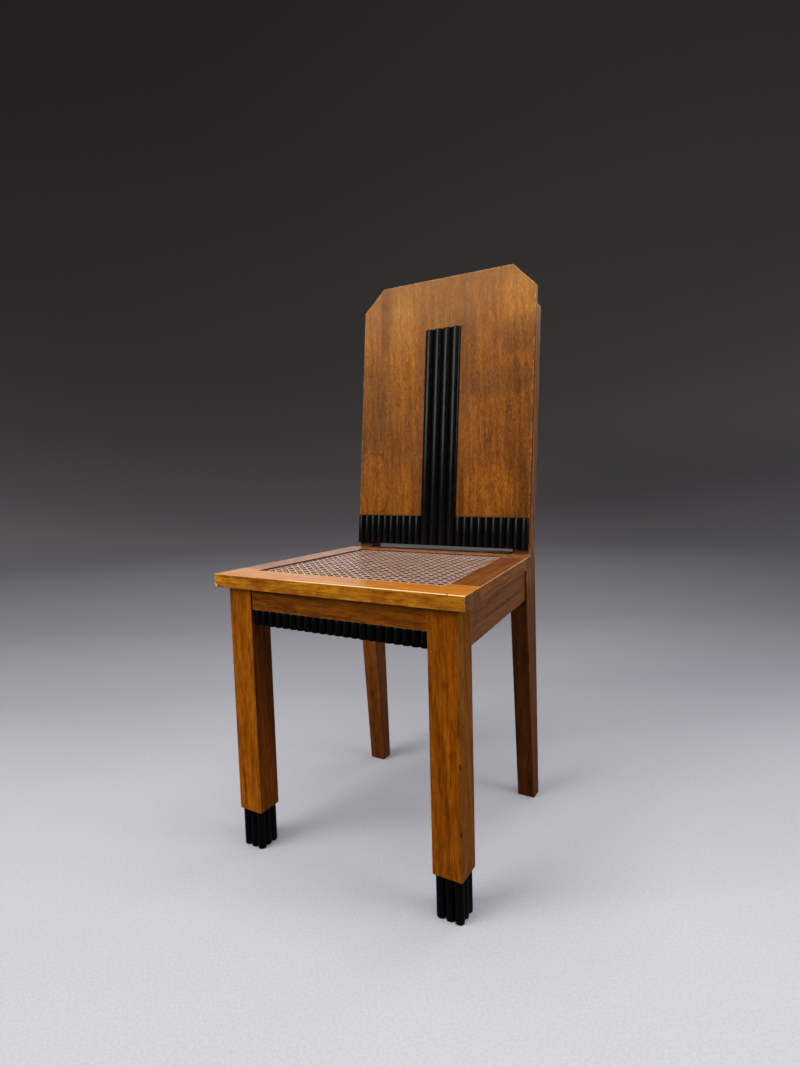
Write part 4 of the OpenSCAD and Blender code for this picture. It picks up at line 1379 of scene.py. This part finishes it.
# Each strand's tone varies a little; the pairs' darker range is painted shade, the diagonals' paler range a
# painted highlight.
PAIR_SHADED_TONES, DIAGONAL_HIGHLIT_TONES = (0.15, 0.60), (0.70, 1.0)
centre_y = (OPENING_FRONT + OPENING_REAR) / 2
weave = Weave()
for line in PAIR_LINES:
    for which in (-1, 1):
        weave.strand(Vector((line * PITCH + which * PAIR, centre_y)), Vector((0, 1)),
                     lambda at, w=which: pair_height(at, w), PAIR_W, PAIR_SHADED_TONES)
        weave.strand(Vector((0, centre_y + line * PITCH + which * PAIR)), Vector((1, 0)),
                     lambda at, w=which: pair_height(at, -w), PAIR_W, PAIR_SHADED_TONES)
for line in DIAGONAL_LINES:
    for which in (-1, 1):
        start = Vector(((line + 0.5) * PITCH, centre_y))
        weave.strand(start, Vector((which * DIAGONAL, DIAGONAL)),
                     lambda at, x=start.x, w=which: diagonal_height(at, x, w), DIAGONAL_W,
                     DIAGONAL_HIGHLIT_TONES)
cane = as_object("woven_cane", weave.mesh)
finish_piece(cane, cane_strand, "cane_panel")
print("cane of", weave.count, "strands")

# %% [markdown]
# ## Spline
# A strip of reed is hammered into the groove over the cane's edge and holds the sheet tight. The
# photograph hardly shows it, so it is narrow here, and the cane reaches out to it. A curve with a
# bevel could follow the groove, but it would turn its corners round. A small profile swept round
# the four sides has mitred corners, as a real spline has.

# %% Spline
SPLINE_DROP, SPLINE_CROWN, SPLINE_GAP = 1.2 * MM, 1.6 * MM, 0.1 * MM
CROWN_STEPS = 8
SPLINE_CREASE = math.radians(50)


def spline_strip():
    """A strip against the outer wall of the groove, with a rounded crown."""
    half_w = SPLINE_W / 2
    middle = half_w + SPLINE_GAP
    bottom = LEDGE_Z - GROOVE_DEPTH
    crown = SEAT_TOP - SPLINE_DROP
    shoulder = crown - SPLINE_CROWN
    arc = [(-half_w * math.cos(a), shoulder + (crown - shoulder) * math.sin(a))
           for a in (math.pi * i / CROWN_STEPS for i in range(1, CROWN_STEPS))]
    profile = [(-half_w, bottom), (-half_w, shoulder), *arc, (half_w, shoulder), (half_w, bottom)]
    mesh = swept_round_opening([(middle + across, z) for across, z in profile], smooth=True)
    tone = mesh.verts.layers.float.new("tone")
    for vertex in mesh.verts:
        vertex[tone] = 0.5
    return mesh


spline = as_object("spline", spline_strip())
spline.data.set_sharp_from_angle(angle=SPLINE_CREASE)
finish_piece(spline, cane_spline_finish, "cane_spline")

# %% [markdown]
# ## Hidden blocks, dowels and screws
# The joinery under the seat is seen only from below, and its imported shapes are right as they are.
# It could be modelled again, but a better finish is all that it needs: bare beech for the blocks
# and dowels, and plain steel for the screws.

# %% Joinery
beech = varnished_wood("bare_beech", ALONG_X, "#6e5338", end_tone="#5c452f", wear=0.0, arris=0.0,
                       gloss=0.6)


def steel_finish():
    """Turned steel, a little uneven in tone and in polish."""
    made, tree, shader = new_finish("screw_steel")
    spot = put(tree, "TexCoord", {}).outputs["Object"]
    turned = noise(tree, spot, 1500.0, detail=2.0)
    tree.links.new(ramp(tree, turned, [(0.3, "#85888c"), (0.7, "#a9acb0")]), shader.inputs["Base Color"])
    tree.links.new(fade(tree, turned, 0.3, 0.7, 0.28, 0.45), shader.inputs["Roughness"])
    shader.inputs["Metallic"].default_value = 1.0
    return made


screw_steel = steel_finish()
for name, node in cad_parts.items():
    if "screw" in name or "dowel" in name or "block" in name:
        node.data.materials.clear()
        node.data.materials.append(screw_steel if "screw" in name else beech)
        print(name, "keeps its shape")

# %% [markdown]
# ## Studio paper
# The photograph's background goes from nearly white under the chair to a warm grey high up. More
# lamps could shade the paper, but they would light the chair as well. So the paper itself has
# those tones, which follow the distance into the depth and the height on the wall. The floor gets
# darker towards the right, and the wall a little paler, to even out what the lamps do there.

# %% Floor finish
FLOOR_TONES = (
    (0.02, "#d1d2db"), (0.045, "#c9cad3"), (0.085, "#adaeb8"), (0.16, "#9798a0"), (0.30, "#939398"),
    (0.55, "#8b878c"), (0.66, "#787579"), (0.83, "#6d6a69"), (1.0, "#605d5a"))
NEAR_END, FAR_END = -1.0, 9.0


def floor_finish():
    """Studio paper: pale under the chair and darker towards the wall behind it."""
    made, tree, shader = new_finish("pale_floor")
    spot = put(tree, "TexCoord", {}).outputs["Object"]
    place = parts_of(tree, spot)
    far = plus(tree, place["Y"], place["Z"])
    clouds = times(tree, noise(tree, spot, 0.6, detail=3.0), 0.02)
    colour = ramp(tree, plus(tree, fade(tree, far, NEAR_END, FAR_END), clouds), FLOOR_TONES)
    rightwards = fade(tree, place["X"], 0.2, 2.6, 1.0, 0.66)
    colour = mix(tree, 1.0, colour, rightwards, "MULTIPLY")
    sideways = fade(tree, place["X"], -4.0, 4.0, 0.84, 1.16)
    evened = mix(tree, 1.0, colour, work_out(tree, "DIVIDE", sideways, rightwards), "MULTIPLY")
    colour = mix(tree, fade(tree, place["Z"], 0.1, 1.2), colour, evened)
    nap = fade(tree, noise(tree, spot, 260.0, detail=3.0, roughness=0.7), 0.3, 0.7, 0.94, 1.06)
    tree.links.new(mix(tree, 1.0, colour, nap, "MULTIPLY"), shader.inputs["Base Color"])
    shader.inputs["Roughness"].default_value = 0.9
    shader.inputs["Specular IOR Level"].default_value = 0.2
    return made


floor.data.materials.append(floor_finish())
print("floor of", len(FLOOR_TONES), "tones")

# %% [markdown]
# ## Box of the visual model
# The visual model should stay inside the box of the imported one. That could be looked at in the
# viewport, but numbers are surer, so the visual model's box is printed.

# %% Box of the visual model
low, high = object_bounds()
print("visual box", tuple(round(v, 4) for v in low), tuple(round(v, 4) for v in high))
